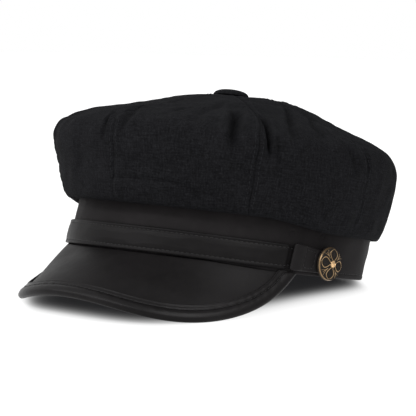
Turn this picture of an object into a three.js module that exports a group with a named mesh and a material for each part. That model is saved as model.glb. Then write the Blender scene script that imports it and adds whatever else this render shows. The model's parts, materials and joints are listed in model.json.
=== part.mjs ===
// Biker cap: an eight-panel cotton crown on a leather head band, a bound leather peak, a stitched
// front strap under two leather tabs, two cast side buttons and a covered top button.
// Millimetres, +Z up. The peak points to -Y and the wearer's left is +X.
// The cap is built level with the rim near z = 0, then tipped back until it rests on the rear of
// its rim and on both sides of its peak, as it lies on a table.

import * as THREE from 'three';
import { mergeVertices } from 'three/addons/utils/BufferGeometryUtils.js';

const { clamp, degToRad, lerp, smoothstep } = THREE.MathUtils;

// Fit
const HEAD_GIRTH = 575; // round the inside of the band
const HEAD_RATIO = 1.06; // head opening, length over width
const GAP = 0.3; // clearance between pieces that lie on each other

// Head band
const BAND_WALL = 2.5;
const BAND_BELOW = 1.2; // how far the lower edge hangs below the peak seam's middle plane
const BAND_LEAN = 0.195; // shift to the back for each millimetre of height
const BAND_TUCK = 4; // length of band that goes up inside the crown
const BAND_COLUMNS = 72;

// Crown
const CROWN_WALL = 2;
const HEM_HEIGHT = 29; // mean height of the crown's lower edge
const HEM_FRONT = 30.3; // its height over the front of the band
const HEM_SIDE = 24.9; // its height over the sides and the back
const HEM_STEP = { from: 50, to: 84 }; // degrees from the front over which the hem drops
const HEM_BLEND = 62; // height at which the drop has died away
const CREST = { rise: 3.4, radius: 42, width: 24 }; // the top stands higher behind the button
const ROUND_RADIUS = 60; // the plan is round inside this radius and oval outside it
const CROWN_ROWS = 20;
const LINING_ROWS = 14;
const ROW_CROWDING = 1.6; // above 1, the rows crowd towards the hem

// Panels: seams in degrees round the crown, -90 at the front, and the columns of each panel
const SEAM_ANGLES = [-90, -43, 0, 45, 90, 135, 180, 223];
const PANEL_STEPS = [0, 0.035, 0.09, 0.19, 0.34, 0.5, 0.66, 0.81, 0.91, 0.965];
const SEAM = { depth: 0.9, width: 2.4 };
const HEM_CREASE = { along: 0.135, depth: 0.9, width: 4 };
const RELIEF_START = { from: 0.03, to: 0.09 }; // the cloth lies flat below this, at the hem
const NORMAL_STEP = { angle: 0.5, along: 0.004 }; // step over which the crown's normal is taken

// Folds run up the crown: angle in degrees, from low to high as shares of the way from the hem to
// the pole, lean in degrees over that run, depth and half width in millimetres.
const FOLDS = [
  { angle: -49.3, low: 0.28, high: 0.55, lean: -1, depth: 3.6, width: 4.2 },
  { angle: -37.8, low: 0.27, high: 0.47, lean: -1.5, depth: 3.0, width: 2.6 },
  { angle: -34.6, low: 0.24, high: 0.33, lean: 0, depth: 1.4, width: 3.6 },
  { angle: -26, low: 0.4, high: 0.7, lean: 9, depth: 1.5, width: 4.5 },
  { angle: -13.5, low: 0.33, high: 0.58, lean: 6, depth: 1.9, width: 4.5 },
  { angle: -2.5, low: 0.26, high: 0.42, lean: -3, depth: 1.6, width: 3.6 },
  { angle: -94.5, low: 0.28, high: 0.46, lean: -8, depth: 2.4, width: 3.2 },
  { angle: -86, low: 0.3, high: 0.46, lean: -5, depth: 1.5, width: 3.6 },
];
const FOLD_FADE = 0.05; // a fold fades out over this share of the way at both ends
const FOLD_RIDGE = { share: 0.3, at: 2 }; // a low ridge beside it, at this many half widths
// The seams away from the front each gather one plain fold on either side.
const GATHERED_SEAMS = [45, 90, 135, 180, 223];
const GATHER = { beside: 6.5, low: 0.28, high: 0.5, lean: 1.5, depth: 1.9, width: 3.8 };

// Peak and its binding
const PEAK_LEATHER = 2.2;
const PEAK_HORN_ANGLE = -20.7; // where each end of the peak's edge meets the band, from the side
const PEAK_SEAM_ANGLE = -25.6; // where the seam on the band ends, a binding's width before it
const PEAK_SEAM_HEIGHT = 0.4; // middle of the leather along the seam at the front
const PEAK_REACH = 101.6; // from the line between the horns to the front edge
const PEAK_SQUARENESS = 2.16; // superellipse power of the outline
const PEAK_DROP = 27.6; // of the edge's middle below the rim at the front
const PEAK_SIDE_DROP = 6.6; // extra drop at the two rounded corners
const PEAK_HORN_HEIGHT = -1.9; // middle of the leather at the horns
const PEAK_HORN_POWER = 7.9; // how late the edge climbs to the horns
const PEAK_BOW = 1.4; // crown of the peak across its width
const PEAK_SPREAD = 0.75; // share of the even spacing along the band seam
const PEAK_STATIONS = 24; // on each side of the middle
const PEAK_STEP = 0.002; // step along the outline over which its tangent is taken
const PEAK_CROWDING = 1.6; // above 1, the stations crowd towards the horns
const PLATE_ROWS = 6;
const BINDING_LEG = 7; // from the fold to the stitched edges
const BINDING_WALL = 1.1;
const BINDING_FULL = 0.8; // most of a leg's length that the rounding of the fold takes
const BINDING_SPLIT = 0.3; // where the inner face of a leg is divided
const BINDING_THICKNESS = PEAK_LEATHER + 2 * (GAP + BINDING_WALL);

// Front strap
const STRAP = { width: 13.8, wall: 1.6, front: 10, back: 8.9, end: -22 };
const STRAP_BEVEL = { along: 1.2, deep: 0.5 };
const STRAP_STATIONS = 36;

// Tabs: degrees forward of the side, lower and upper edge, offset of the inner face, thickness
const OVER_STRAP = BAND_WALL + STRAP.wall + 2 * GAP;
const ON_BAND = BAND_WALL + GAP;
const TAB_BEVEL = 0.6;
const TAB_SECTIONS = [
  { angle: 25.7, low: 1.7, high: 15.8, under: OVER_STRAP + 0.6, wall: 0.8 },
  { angle: 25.2, low: 1.0, high: 16.6, under: OVER_STRAP, wall: 2 },
  { angle: 21.2, low: 0.9, high: 16.4, under: OVER_STRAP, wall: 2 },
  { angle: 19.6, low: 0.9, high: 16.2, under: OVER_STRAP - 0.7, wall: 2 },
  { angle: 17.6, low: 0.9, high: 15.7, under: ON_BAND + 0.4, wall: 2 },
  { angle: 15.8, low: 0.9, high: 15.2, under: ON_BAND, wall: 2 },
  { angle: 11, low: 0.9, high: 13.9, under: ON_BAND, wall: 2 },
  { angle: 6, low: 1.4, high: 12.6, under: ON_BAND, wall: 2 },
  { angle: 3, low: 3.6, high: 10.4, under: ON_BAND, wall: 2 },
];

// Side buttons
const BUTTON_RADIUS = 10;
const BUTTON_ANGLE = -8;
const BUTTON_HEIGHT = 6.9;
const BUTTON_SIDES = 36;
const BUTTON_BACK = 0.8; // thickness at the edge
const BUTTON_DOME = { edge: 2.2, middle: 3.6 };
const BUTTON_RIM = { width: 1.3, round: 0.5, shoulder: 0.1, height: 0.6 };
const BUTTON_RINGS = [7.4, 5.8, 4.2, 2.6]; // radii of the face's rings
const BUTTON_BOSS = { radius: 1.7, shoulder: 0.3, height: 0.9 };
const BUTTON_SPIN = 8; // degrees that the rosette is turned
const PETALS = { count: 4, relief: 0.55, inner: [2, 4], outer: [7, 8.4] };

// Top button
const TOP_RADIUS = 11;
const TOP_DOME = 4.4;
const TOP_EDGE = { round: 1, height: 0.9 };
const TOP_FULLNESS = 0.8; // below 1, the dome is fuller than an ellipse
const TOP_RINGS = 6;
const TOP_SIDES = 28;

const MERGE = 1e-4; // points closer than this are one

const cloth = { color: 0x1c1c1e, roughness: 0.95, metalness: 0 };
const leather = { color: 0x242224, roughness: 0.5, metalness: 0 };
const brass = { color: 0xa88350, roughness: 0.38, metalness: 1 };

// Semi-axes of the head opening, from its girth by Ramanujan's formula.
const HALF_WIDTH =
  HEAD_GIRTH / (Math.PI * (3 * (1 + HEAD_RATIO) - Math.sqrt((3 + HEAD_RATIO) * (1 + 3 * HEAD_RATIO))));
const HALF_LENGTH = HALF_WIDTH * HEAD_RATIO;

// The crown's lowest section fits round the band.
const SEAT_WIDTH = HALF_WIDTH + ON_BAND;
const SEAT_LENGTH = HALF_LENGTH + ON_BAND;
const SQUASH = Math.sqrt(SEAT_LENGTH / SEAT_WIDTH);

// Sections of the crown from hem to pole: height, mean radius and shift of the centre to the back
const CROWN_SECTIONS = [
  { place: 'hem', height: HEM_HEIGHT, radius: SEAT_WIDTH * SQUASH, shift: BAND_LEAN * HEM_HEIGHT },
  { place: 'turn', height: 28.3, radius: 99.0, shift: 3.4 },
  { place: 'skirt', height: 35, radius: 102.9, shift: 2.2 },
  { place: 'wall', height: 50, radius: 106.8, shift: 2 },
  { place: 'belly', height: 65, radius: 108.9, shift: -1.2 },
  { place: 'shoulder', height: 74.5, radius: 106.1, shift: -2.6 },
  { place: 'brow', height: 82.3, radius: 95, shift: -1.5 },
  { place: 'slope', height: 93, radius: 64.5, shift: -1 },
  { place: 'crest', height: 102.6, radius: 37, shift: -2.5 },
  { place: 'cap', height: 104.1, radius: 14, shift: -3.5 },
  { place: 'pole', height: 104.3, radius: 0, shift: -3.7 },
];
const POLE = CROWN_SECTIONS.at(-1);

const crownProfile = new THREE.CatmullRomCurve3(
  CROWN_SECTIONS.map(({ radius, height, shift }) => new THREE.Vector3(radius, height, shift)),
  false,
  'centripetal',
);

/** Drops the faces that merging has flattened to a line. */
function withoutFlatFaces(geometry) {
  const index = Array.from(geometry.index.array);
  const kept = [];
  for (let i = 0; i < index.length; i += 3) {
    const [a, b, c] = index.slice(i, i + 3);
    if (a !== b && b !== c && c !== a) kept.push(a, b, c);
  }
  geometry.setIndex(kept);
  geometry.computeVertexNormals();
  return geometry;
}

/**
 * A closed body through loops of points, one loop after the other.
 * ends 'joined': the last loop meets the first. ends 'points': the first and last loop are each
 * one point. ends 'filled': each end is filled by a strip between the two halves of its loop.
 */
function bodyThrough(loops, ends) {
  const size = loops[0].length;
  const faces = [];
  const bands = ends === 'joined' ? loops.length : loops.length - 1;
  for (let row = 0; row < bands; row += 1) {
    const here = row * size;
    const next = ((row + 1) % loops.length) * size;
    for (let i = 0; i < size; i += 1) {
      const j = (i + 1) % size;
      faces.push(here + i, here + j, next + j, here + i, next + j, next + i);
    }
  }
  if (ends === 'filled') {
    const last = (loops.length - 1) * size;
    for (let i = 0; i < size / 2 - 1; i += 1) {
      const [j, far, farther] = [i + 1, size - 2 - i, size - 1 - i];
      faces.push(j, i, farther, j, farther, far);
      faces.push(last + i, last + j, last + farther, last + j, last + far, last + farther);
    }
  }
  const geometry = new THREE.BufferGeometry().setFromPoints(loops.flat());
  geometry.setIndex(faces);
  return withoutFlatFaces(mergeVertices(geometry, MERGE));
}

/** A named mesh with its own material. */
function piece(name, geometry, finish) {
  const mesh = new THREE.Mesh(geometry, new THREE.MeshStandardMaterial(finish));
  mesh.name = name;
  return mesh;
}

/** A point beside the band: degrees round the head, height, and distance outside its inner face. */
function ringPoint(angle, height, offset) {
  const a = degToRad(angle);
  return new THREE.Vector3(
    (HALF_WIDTH + offset) * Math.cos(a),
    (HALF_LENGTH + offset) * Math.sin(a) + BAND_LEAN * height,
    height,
  );
}

/** The direction straight out from the band at an angle. */
function outward(angle) {
  const a = degToRad(angle);
  return new THREE.Vector3(HALF_LENGTH * Math.cos(a), HALF_WIDTH * Math.sin(a), 0).normalize();
}

/** Degrees between two directions round the head, from 0 to 180. */
function apart(a, b) {
  return Math.abs(THREE.MathUtils.euclideanModulo(a - b + 180, 360) - 180);
}

/** Height of the crown's lower edge: high over the front, lower over the sides and the back. */
function hemHeight(angle) {
  return lerp(HEM_FRONT, HEM_SIDE, smoothstep(apart(angle, -90), HEM_STEP.from, HEM_STEP.to));
}

/** 1 inside a run from low to high, fading to 0 over a margin at both ends. */
function within(along, low, high, margin) {
  const rise = smoothstep(along, low - margin, low + margin);
  return rise * (1 - smoothstep(along, high - margin, high + margin));
}

/** A smooth bell, 1 at distance 0 and near 0 from twice the width on. */
function bell(distance, width) {
  return Math.exp(-((distance / width) ** 2));
}

/** 0 under the top button, where the cloth lies flat, growing to 1 outside it. */
function clearOfButton(radius) {
  return smoothstep(radius, TOP_RADIUS, 3 * TOP_RADIUS);
}

/** All folds of the crown, the gathers beside the plain seams included. */
const allFolds = [
  ...FOLDS,
  ...GATHERED_SEAMS.flatMap((seam) =>
    [-1, 1].map((side) => ({
      ...GATHER,
      angle: seam + side * GATHER.beside,
      lean: -side * GATHER.lean,
    })),
  ),
];

/** How far the cloth lies outside its smooth form: seams, folds and the crease over the hem. */
function clothRelief(angle, along, radius) {
  const spread = degToRad(1) * radius;
  let relief = 0;
  for (const seam of SEAM_ANGLES) {
    relief -= SEAM.depth * bell(apart(angle, seam) * spread, SEAM.width);
  }
  for (const fold of allFolds) {
    const lean = (fold.lean * (along - (fold.low + fold.high) / 2)) / (fold.high - fold.low);
    const distance = apart(angle, fold.angle + lean) * spread;
    const run = within(along, fold.low, fold.high, FOLD_FADE);
    const ridge = FOLD_RIDGE.share * bell(distance - FOLD_RIDGE.at * fold.width, fold.width);
    relief -= fold.depth * run * (bell(distance, fold.width) - ridge);
  }
  const crease = (along - HEM_CREASE.along) * crownProfile.getLength();
  relief -= HEM_CREASE.depth * bell(crease, HEM_CREASE.width);
  return relief * smoothstep(along, RELIEF_START.from, RELIEF_START.to) * clearOfButton(radius);
}

/** The crown's smooth form: degrees round the head, and share of the way from hem to pole. */
function smoothCrown(angle, along) {
  const { x: radius, y: height, z: shift } = crownProfile.getPointAt(clamp(along, 0, 1));
  const squash = 1 + (SQUASH - 1) * Math.min(radius / ROUND_RADIUS, 1);
  const fade = 1 - smoothstep(height, HEM_HEIGHT, HEM_BLEND);
  const drop = (hemHeight(angle) - HEM_HEIGHT) * fade;
  const a = degToRad(angle);
  const back = CREST.rise * Math.sin(a) * bell(radius - CREST.radius, CREST.width);
  const point = new THREE.Vector3(
    (radius / squash) * Math.cos(a),
    radius * squash * Math.sin(a) + shift + BAND_LEAN * drop,
    height + drop + back * clearOfButton(radius),
  );
  return { point, radius };
}

/** A point of the crown, at a depth below the outside of the cloth. */
function crownPoint(angle, along, depth) {
  const { point, radius } = smoothCrown(angle, along);
  // At the hem the wall is plumb, so that its edge stands flat against the band.
  if (along === 0) return ringPoint(angle, point.z + depth, ON_BAND);
  // At the pole all columns meet, straight below or above each other.
  if (along === 1) return point.setZ(point.z - depth);
  const beside = (turn, climb) =>
    smoothCrown(angle + turn * NORMAL_STEP.angle, along + climb * NORMAL_STEP.along).point;
  const across = beside(1, 0).sub(beside(-1, 0));
  const up = beside(0, 1).sub(beside(0, -1));
  const normal = across.cross(up).normalize();
  return point.addScaledVector(normal, clothRelief(angle, along, radius) - depth);
}

function makeCrown() {
  const columns = SEAM_ANGLES.flatMap((seam, i) => {
    const next = SEAM_ANGLES[i + 1] ?? SEAM_ANGLES[0] + 360;
    return PANEL_STEPS.map((share) => lerp(seam, next, share));
  });
  const rowsOf = (count) => Array.from({ length: count + 1 }, (_, i) => (i / count) ** ROW_CROWDING);
  const ring = (along, depth) => columns.map((angle) => crownPoint(angle, along, depth));
  const inside = rowsOf(LINING_ROWS).reverse();
  const outside = rowsOf(CROWN_ROWS);
  const loops = [
    ...inside.map((along) => ring(along, CROWN_WALL)),
    ...outside.map((along) => ring(along, 0)),
  ];
  return bodyThrough(loops, 'points');
}

function makeHeadBand() {
  const loops = Array.from({ length: BAND_COLUMNS }, (_, i) => {
    const angle = ((i + 0.5) * 360) / BAND_COLUMNS;
    const top = hemHeight(angle) + BAND_TUCK;
    const heights = [top, top / 2, -BAND_BELOW];
    return [
      ...heights.map((height) => ringPoint(angle, height, BAND_WALL)),
      ...heights.reverse().map((height) => ringPoint(angle, height, 0)),
    ];
  });
  return bodyThrough(loops, 'joined');
}

/** Middle of the peak's edge. turn runs from -1 at one horn through 0 at the front to 1. */
function peakEdge(turn) {
  const horn = ringPoint(PEAK_HORN_ANGLE, 0, ON_BAND);
  const a = turn * (Math.PI / 2);
  const climb = Math.abs(turn) ** PEAK_HORN_POWER;
  const low = PEAK_DROP + PEAK_SIDE_DROP * Math.sin(2 * a) ** 2;
  return new THREE.Vector3(
    horn.x * Math.sign(turn) * Math.abs(Math.sin(a)) ** (2 / PEAK_SQUARENESS),
    horn.y - PEAK_REACH * Math.abs(Math.cos(a)) ** (2 / PEAK_SQUARENESS),
    PEAK_HORN_HEIGHT * climb - low * (1 - climb),
  );
}

/** Where the peak's ruling for a turn starts on the band, at a lift off the leather's middle. */
function peakSeam(turn, lift) {
  const even = PEAK_SPREAD * turn + (1 - PEAK_SPREAD) * turn ** 3;
  const height = lerp(PEAK_SEAM_HEIGHT, PEAK_HORN_HEIGHT, smoothstep(Math.abs(turn), 0.6, 1));
  return ringPoint(-90 + (90 + PEAK_SEAM_ANGLE) * even, height + lift, ON_BAND);
}

/** The ruling of the peak for a turn: its two ends, length and upward normal at the edge. */
function peakRuling(turn) {
  const root = peakSeam(turn, 0);
  const edge = peakEdge(turn);
  const reach = root.distanceTo(edge);
  const ahead = peakEdge(Math.min(turn + PEAK_STEP, 1));
  const tangent = ahead.sub(peakEdge(Math.max(turn - PEAK_STEP, -1)));
  const normal = edge.clone().sub(root).cross(tangent).normalize();
  return { edge, reach, normal };
}

/** A point of the peak: share of the way from the band to the edge, and lift off the middle. */
function peakPoint(turn, along, lift) {
  const { edge, normal } = peakRuling(turn);
  const root = peakSeam(turn, lift);
  const tip = edge.addScaledVector(normal, lift);
  const bow = PEAK_BOW * 4 * along * (1 - along) * (1 - turn * turn);
  return root.lerp(tip, along).add(new THREE.Vector3(0, 0, bow));
}

// Stations along the peak's outline, closer together towards the horns, where it twists.
const peakTurns = Array.from({ length: 2 * PEAK_STATIONS + 1 }, (_, i) => {
  const even = i / PEAK_STATIONS - 1;
  return Math.sign(even) * (1 - (1 - Math.abs(even)) ** PEAK_CROWDING);
});

function makePeak() {
  const half = PEAK_LEATHER / 2;
  const loops = peakTurns.map((turn) => {
    const edge = 1 - (BINDING_WALL + 2 * GAP) / peakRuling(turn).reach;
    const shares = Array.from({ length: PLATE_ROWS + 1 }, (_, i) => (edge * i) / PLATE_ROWS);
    return [
      ...shares.map((along) => peakPoint(turn, along, half)),
      ...shares.reverse().map((along) => peakPoint(turn, along, -half)),
    ];
  });
  return bodyThrough(loops, 'filled');
}

function makePeakBinding() {
  const half = BINDING_THICKNESS / 2;
  const slot = half - BINDING_WALL;
  const round = half * (1 - Math.SQRT1_2);
  const loops = peakTurns.map((turn) => {
    const { reach } = peakRuling(turn);
    const leg = Math.min(BINDING_LEG, reach - 2 * GAP);
    const bend = Math.min(BINDING_WALL + GAP, leg / 2);
    const full = Math.min(half, BINDING_FULL * leg);
    const outer = [
      [leg, half],
      [full, half],
      [(round * full) / half, half * Math.SQRT1_2],
      [0, 0],
      [(round * full) / half, -half * Math.SQRT1_2],
      [full, -half],
      [leg, -half],
    ];
    const inner = [
      [leg, -slot],
      [lerp(bend, leg, BINDING_SPLIT), -slot],
      [bend, -slot],
      [bend, 0],
      [bend, slot],
      [lerp(bend, leg, BINDING_SPLIT), slot],
      [leg, slot],
    ];
    return [...outer, ...inner].map(([inset, lift]) => peakPoint(turn, 1 - inset / reach, lift));
  });
  return bodyThrough(loops, 'filled');
}

/** Middle height of the strap, a little lower towards the tabs. */
function strapHeight(angle) {
  const share = apart(angle, -90) / (90 + STRAP.end);
  return lerp(STRAP.front, STRAP.back, smoothstep(share, 0.2, 1));
}

function makeFrontStrap() {
  const half = STRAP.width / 2;
  const flat = half - STRAP_BEVEL.along;
  const face = ON_BAND + STRAP.wall;
  const loops = Array.from({ length: STRAP_STATIONS + 1 }, (_, i) => {
    const angle = lerp(-180 - STRAP.end, STRAP.end, i / STRAP_STATIONS);
    const middle = strapHeight(angle);
    const section = [
      [half, face - STRAP_BEVEL.deep],
      [flat, face],
      [-flat, face],
      [-half, face - STRAP_BEVEL.deep],
      [-half, ON_BAND],
      [-flat, ON_BAND],
      [flat, ON_BAND],
      [half, ON_BAND],
    ];
    return section.map(([rise, offset]) => ringPoint(angle, middle + rise, offset));
  });
  return bodyThrough(loops, 'filled');
}

/** A tab on one side: 1 is the wearer's left, -1 the right. */
function makeTab(side) {
  const loops = TAB_SECTIONS.map(({ angle, low, high, under, wall }) => {
    const round = side > 0 ? -angle : angle - 180;
    const bevel = Math.min(TAB_BEVEL, wall / 2);
    return [
      ringPoint(round, high, under + wall - bevel),
      ringPoint(round, high - bevel, under + wall),
      ringPoint(round, low + bevel, under + wall),
      ringPoint(round, low, under + wall - bevel),
      ringPoint(round, low, under),
      ringPoint(round, low + bevel, under),
      ringPoint(round, high - bevel, under),
      ringPoint(round, high, under),
    ];
  });
  return bodyThrough(side > 0 ? loops : loops.reverse(), 'filled');
}

/** A closed turned shape about +Z through (radius, height) points that start and end on the axis. */
function turned(profile, sides) {
  const points = profile.map(([radius, height]) => new THREE.Vector2(radius, height));
  const geometry = new THREE.LatheGeometry(points, sides).rotateX(Math.PI / 2);
  geometry.deleteAttribute('normal');
  geometry.deleteAttribute('uv');
  return withoutFlatFaces(mergeVertices(geometry, MERGE));
}

/** A cast rosette: a flat back, a rolled rim, a boss, and four raised petals with darts between. */
function makeSideButton() {
  const { width, round, shoulder, height } = BUTTON_RIM;
  const domed = (radius) => lerp(BUTTON_DOME.middle, BUTTON_DOME.edge, (radius / BUTTON_RADIUS) ** 2);
  const profile = [
    [0, 0],
    [BUTTON_RADIUS - round, 0],
    [BUTTON_RADIUS, BUTTON_BACK],
    [BUTTON_RADIUS, domed(BUTTON_RADIUS) + shoulder],
    [BUTTON_RADIUS - round, domed(BUTTON_RADIUS) + height],
    [BUTTON_RADIUS - width, domed(BUTTON_RADIUS - width)],
    ...BUTTON_RINGS.map((radius) => [radius, domed(radius)]),
    [BUTTON_BOSS.radius, domed(BUTTON_BOSS.radius) + BUTTON_BOSS.shoulder],
    [0, domed(0) + BUTTON_BOSS.height],
  ];
  const geometry = turned(profile, BUTTON_SIDES);
  const place = geometry.attributes.position;
  for (let i = 0; i < place.count; i += 1) {
    const [x, y, z] = [place.getX(i), place.getY(i), place.getZ(i)];
    const radius = Math.hypot(x, y);
    const lobe = Math.cos(PETALS.count * (Math.atan2(y, x) - degToRad(BUTTON_SPIN)));
    const along = smoothstep(radius, ...PETALS.inner) * (1 - smoothstep(radius, ...PETALS.outer));
    const petal = along * smoothstep(lobe, -0.5, 0.5);
    if (z > BUTTON_BACK) place.setZ(i, z + PETALS.relief * petal);
  }
  geometry.computeVertexNormals();
  return geometry;
}

function placedSideButton(name, side) {
  const angle = side > 0 ? BUTTON_ANGLE : -180 - BUTTON_ANGLE;
  const tabFace = ON_BAND + TAB_SECTIONS.at(-2).wall;
  const button = piece(name, makeSideButton(), brass);
  const out = outward(angle);
  const up = new THREE.Vector3(0, 0, 1);
  button.position.copy(ringPoint(angle, BUTTON_HEIGHT, tabFace + GAP));
  button.quaternion.setFromRotationMatrix(new THREE.Matrix4().makeBasis(up.clone().cross(out), up, out));
  return button;
}

function placedTopButton() {
  const dome = Array.from({ length: TOP_RINGS }, (_, i) => {
    const a = ((i + 1) / TOP_RINGS) * (Math.PI / 2);
    const radius = TOP_RADIUS * Math.abs(Math.cos(a)) ** TOP_FULLNESS;
    return [radius, lerp(TOP_EDGE.height, TOP_DOME, Math.sin(a))];
  });
  dome.at(-1)[0] = 0;
  const profile = [[0, 0], [TOP_RADIUS - TOP_EDGE.round, 0], [TOP_RADIUS, TOP_EDGE.height], ...dome];
  const button = piece('top_button', turned(profile, TOP_SIDES), cloth);
  button.position.set(0, POLE.shift, POLE.height + GAP);
  return button;
}

/** The angle by which the level cap tips back until its rear rim and its binding both touch. */
function restTilt(binding) {
  const heel = ringPoint(90, -BAND_BELOW, BAND_WALL);
  const place = binding.attributes.position;
  let tilt = 0;
  for (let i = 0; i < place.count; i += 1) {
    tilt = Math.max(tilt, Math.atan2(heel.z - place.getZ(i), heel.y - place.getY(i)));
  }
  return tilt;
}

const binding = makePeakBinding();
const cap = new THREE.Group();
cap.add(
  piece('crown', makeCrown(), cloth),
  piece('head_band', makeHeadBand(), leather),
  piece('peak', makePeak(), leather),
  piece('peak_binding', binding, leather),
  piece('front_strap', makeFrontStrap(), leather),
  piece('strap_tab_left', makeTab(1), leather),
  piece('strap_tab_right', makeTab(-1), leather),
  placedSideButton('side_button_left', 1),
  placedSideButton('side_button_right', -1),
  placedTopButton(),
);
cap.rotation.x = -restTilt(binding);
cap.updateMatrixWorld(true);
const extent = new THREE.Box3().setFromObject(cap, true);
const middle = extent.getCenter(new THREE.Vector3());
cap.position.set(-middle.x, -middle.y, -extent.min.z);

const part = new THREE.Group();
part.add(cap);

export default part;
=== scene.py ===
"""Biker cap: the looks of the part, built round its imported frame.

Every shape is first worked out level, in metres, with the middle of the band's rim at the origin,
the peak towards -Y and the wearer's left at +X. at_rest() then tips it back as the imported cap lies.
Angles round the head are in degrees: 0 at the wearer's left, -90 at the front.
"""

import json
import math

import bmesh
import bpy
import numpy as np
from bpy.props import FloatProperty, FloatVectorProperty, IntProperty, PointerProperty
from mathutils import Euler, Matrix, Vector


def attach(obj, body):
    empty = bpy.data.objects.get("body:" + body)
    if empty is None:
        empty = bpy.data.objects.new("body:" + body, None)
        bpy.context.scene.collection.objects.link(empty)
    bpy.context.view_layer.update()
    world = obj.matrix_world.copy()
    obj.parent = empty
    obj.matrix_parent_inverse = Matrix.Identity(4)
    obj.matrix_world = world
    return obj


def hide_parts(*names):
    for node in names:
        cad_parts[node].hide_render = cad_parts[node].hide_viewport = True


bl_info = {
    "name": "Biker Cap",
    "version": (1, 0, 0),
    "blender": (4, 5, 0),
    "location": "3D View > Sidebar > Biker Cap",
    "description": "Makes the cloth, leather, stitching and metal of a peaked cap on its packed frame",
    "category": "Add Mesh",
}

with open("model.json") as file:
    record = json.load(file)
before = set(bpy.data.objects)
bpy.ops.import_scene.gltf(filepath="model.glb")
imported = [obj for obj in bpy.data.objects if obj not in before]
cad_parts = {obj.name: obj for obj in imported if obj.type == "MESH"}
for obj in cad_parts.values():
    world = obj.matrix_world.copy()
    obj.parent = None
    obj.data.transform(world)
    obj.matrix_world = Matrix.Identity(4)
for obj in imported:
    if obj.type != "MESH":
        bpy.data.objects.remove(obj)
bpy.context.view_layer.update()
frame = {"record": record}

MM = 0.001
GAP = 0.3 * MM

# Head band
HEAD_GIRTH = 575 * MM
HEAD_RATIO = 1.06
BAND_WALL = 2.5 * MM
BAND_BELOW = 1.2 * MM
BAND_LEAN = 0.195
BAND_TUCK = 4 * MM
BAND_DENTS = (-25.4, -12.0, -154.6, -168.0)
ON_BAND = BAND_WALL + GAP
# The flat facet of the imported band's lower edge that holds the rim mount, and the mount's share on it
RIM_FACET = (87.5, 92.5)
RIM_SHARE = 0.75
BAND_COLUMNS = 480
BAND_SEAM = 1.9 * MM
# The peak hides the band's seam in front, so its thread goes round the back from tab to tab
BAND_SEWN = (-24, 204)
BAND_THREAD = 0.3 * MM
# Each FORM is a sum of bells across a line: height, distance from the line and half width, in mm
BAND_FORM = ((-0.22, 0.0, 0.45), (0.12, -1.1, 0.7))
DENT_HEIGHT = 22.3 * MM
DENT_RADIUS = 1.7 * MM
DENT_FORM = ((-0.3, 0.0, 0.5),)
DENT_SPAN = 2.2
DENT_COLUMNS = 22

# Crown
CROWN_WALL = 2 * MM
HEM_HEIGHT = 29 * MM
HEM_FRONT = 30.3 * MM
HEM_SIDE = 24.9 * MM
HEM_STEP = (50, 84)
HEM_BLEND = 62 * MM
CREST_RISE = 3.4 * MM
CREST_RADIUS = 42 * MM
CREST_WIDTH = 24 * MM
ROUND_RADIUS = 60 * MM
SEAM_ANGLES = (-90, -43, 0, 45, 90, 135, 180, 223)
SEAM_DEPTHS = (0.6, 0.8, 0.4, 0.8, 0.8, 0.8, 0.8, 0.8)
# How far the two seams in front wander aside: shares of the way from hem to pole, and degrees
SEAM_DRIFTS = {
    -90: (
        (0.05, -1.5), (0.13, 0.0), (0.19, 0.5), (0.25, 1.4),
        (0.30, 1.3), (0.35, -0.7), (0.41, -2.4), (0.60, 0.0),
    ),
    -43: (
        (0.07, 0.0), (0.15, 0.3), (0.20, 0.5), (0.25, 1.3),
        (0.28, 1.9), (0.40, 2.7), (0.55, 3.6), (0.90, 0.0),
    ),
}
DRIFT_REACH = 14
PANEL_COLUMNS = 72
SEAM_CROWDING = 0.72
CROWN_ROWS = 132
LINING_ROWS = 20
ROW_CROWDING = 1.3
RELIEF_START = (0.03, 0.09)
SEAM_FORM = ((-0.55, 0.0, 0.6), (-0.2, 0.0, 2.4), (0.22, 3.2, 1.6))
# Half width of the painted shade along each seam
SEAM_SHADE = 0.55 * MM
# The crease over the hem: its ridges, its level and its sunk place as shares of the way to the pole,
# and the degrees between which it starts, sinks and fades
CREASE_FORM = ((0.4, 3.5, 2.0), (0.4, -5.0, 3.5))
CREASE_PLACES = (0.128, 0.098)
CREASE_START = (-92, -88)
CREASE_SINK = (-70, -58)
CREASE_END = (-64, -50)
PUCKER_PLACE = 4.5 * MM
PUCKER_WIDTH = 3.5 * MM
SEWN_SHARES = (0.055, 0.9)
# Length, gap and thread of the stitches on the cloth
CLOTH_STITCH = (2.0 * MM, 1.0 * MM, 0.32 * MM)

# Folds of the crown: angle, low and high ends as shares of the way from hem to pole, degrees that
# the high end leans aside, depth and half width in millimetres
FOLD_COLUMNS = ("angle", "low", "high", "lean", "depth", "width")
FOLDS = (
    (-48.8, 0.28, 0.56, 0.6, 3.2, 3.0),
    (-49.7, 0.30, 0.52, 0.8, 1.3, 1.0),
    (-37.6, 0.27, 0.50, -0.4, 2.6, 2.2),
    (-37.6, 0.28, 0.50, -0.4, 2.4, 0.8),
    (-34.8, 0.25, 0.32, 0.0, 1.7, 1.7),
    (-28.3, 0.35, 0.74, 26.0, 1.7, 2.6),
    (-15.6, 0.38, 0.66, 20.0, 1.5, 3.0),
    (-6.2, 0.27, 0.36, -3.0, 1.4, 2.6),
    (0.5, 0.26, 0.35, 1.0, 0.9, 1.4),
    (-92.6, 0.28, 0.40, -4.0, 1.6, 1.2),
    (-85.4, 0.30, 0.46, -6.0, 1.5, 3.0),
    (-73.0, 0.43, 0.56, 4.5, 0.8, 2.6),
    (-62.6, 0.38, 0.74, 8.0, 0.7, 2.6),
    (-57.0, 0.30, 0.42, 2.0, 0.6, 2.4),
)
GATHERED_SEAMS = (45, 90, 135, 180, 223)
GATHER = (7.0, 0.28, 0.50, 1.5, 1.9, 3.6)
FOLD_FADE = 0.05
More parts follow.
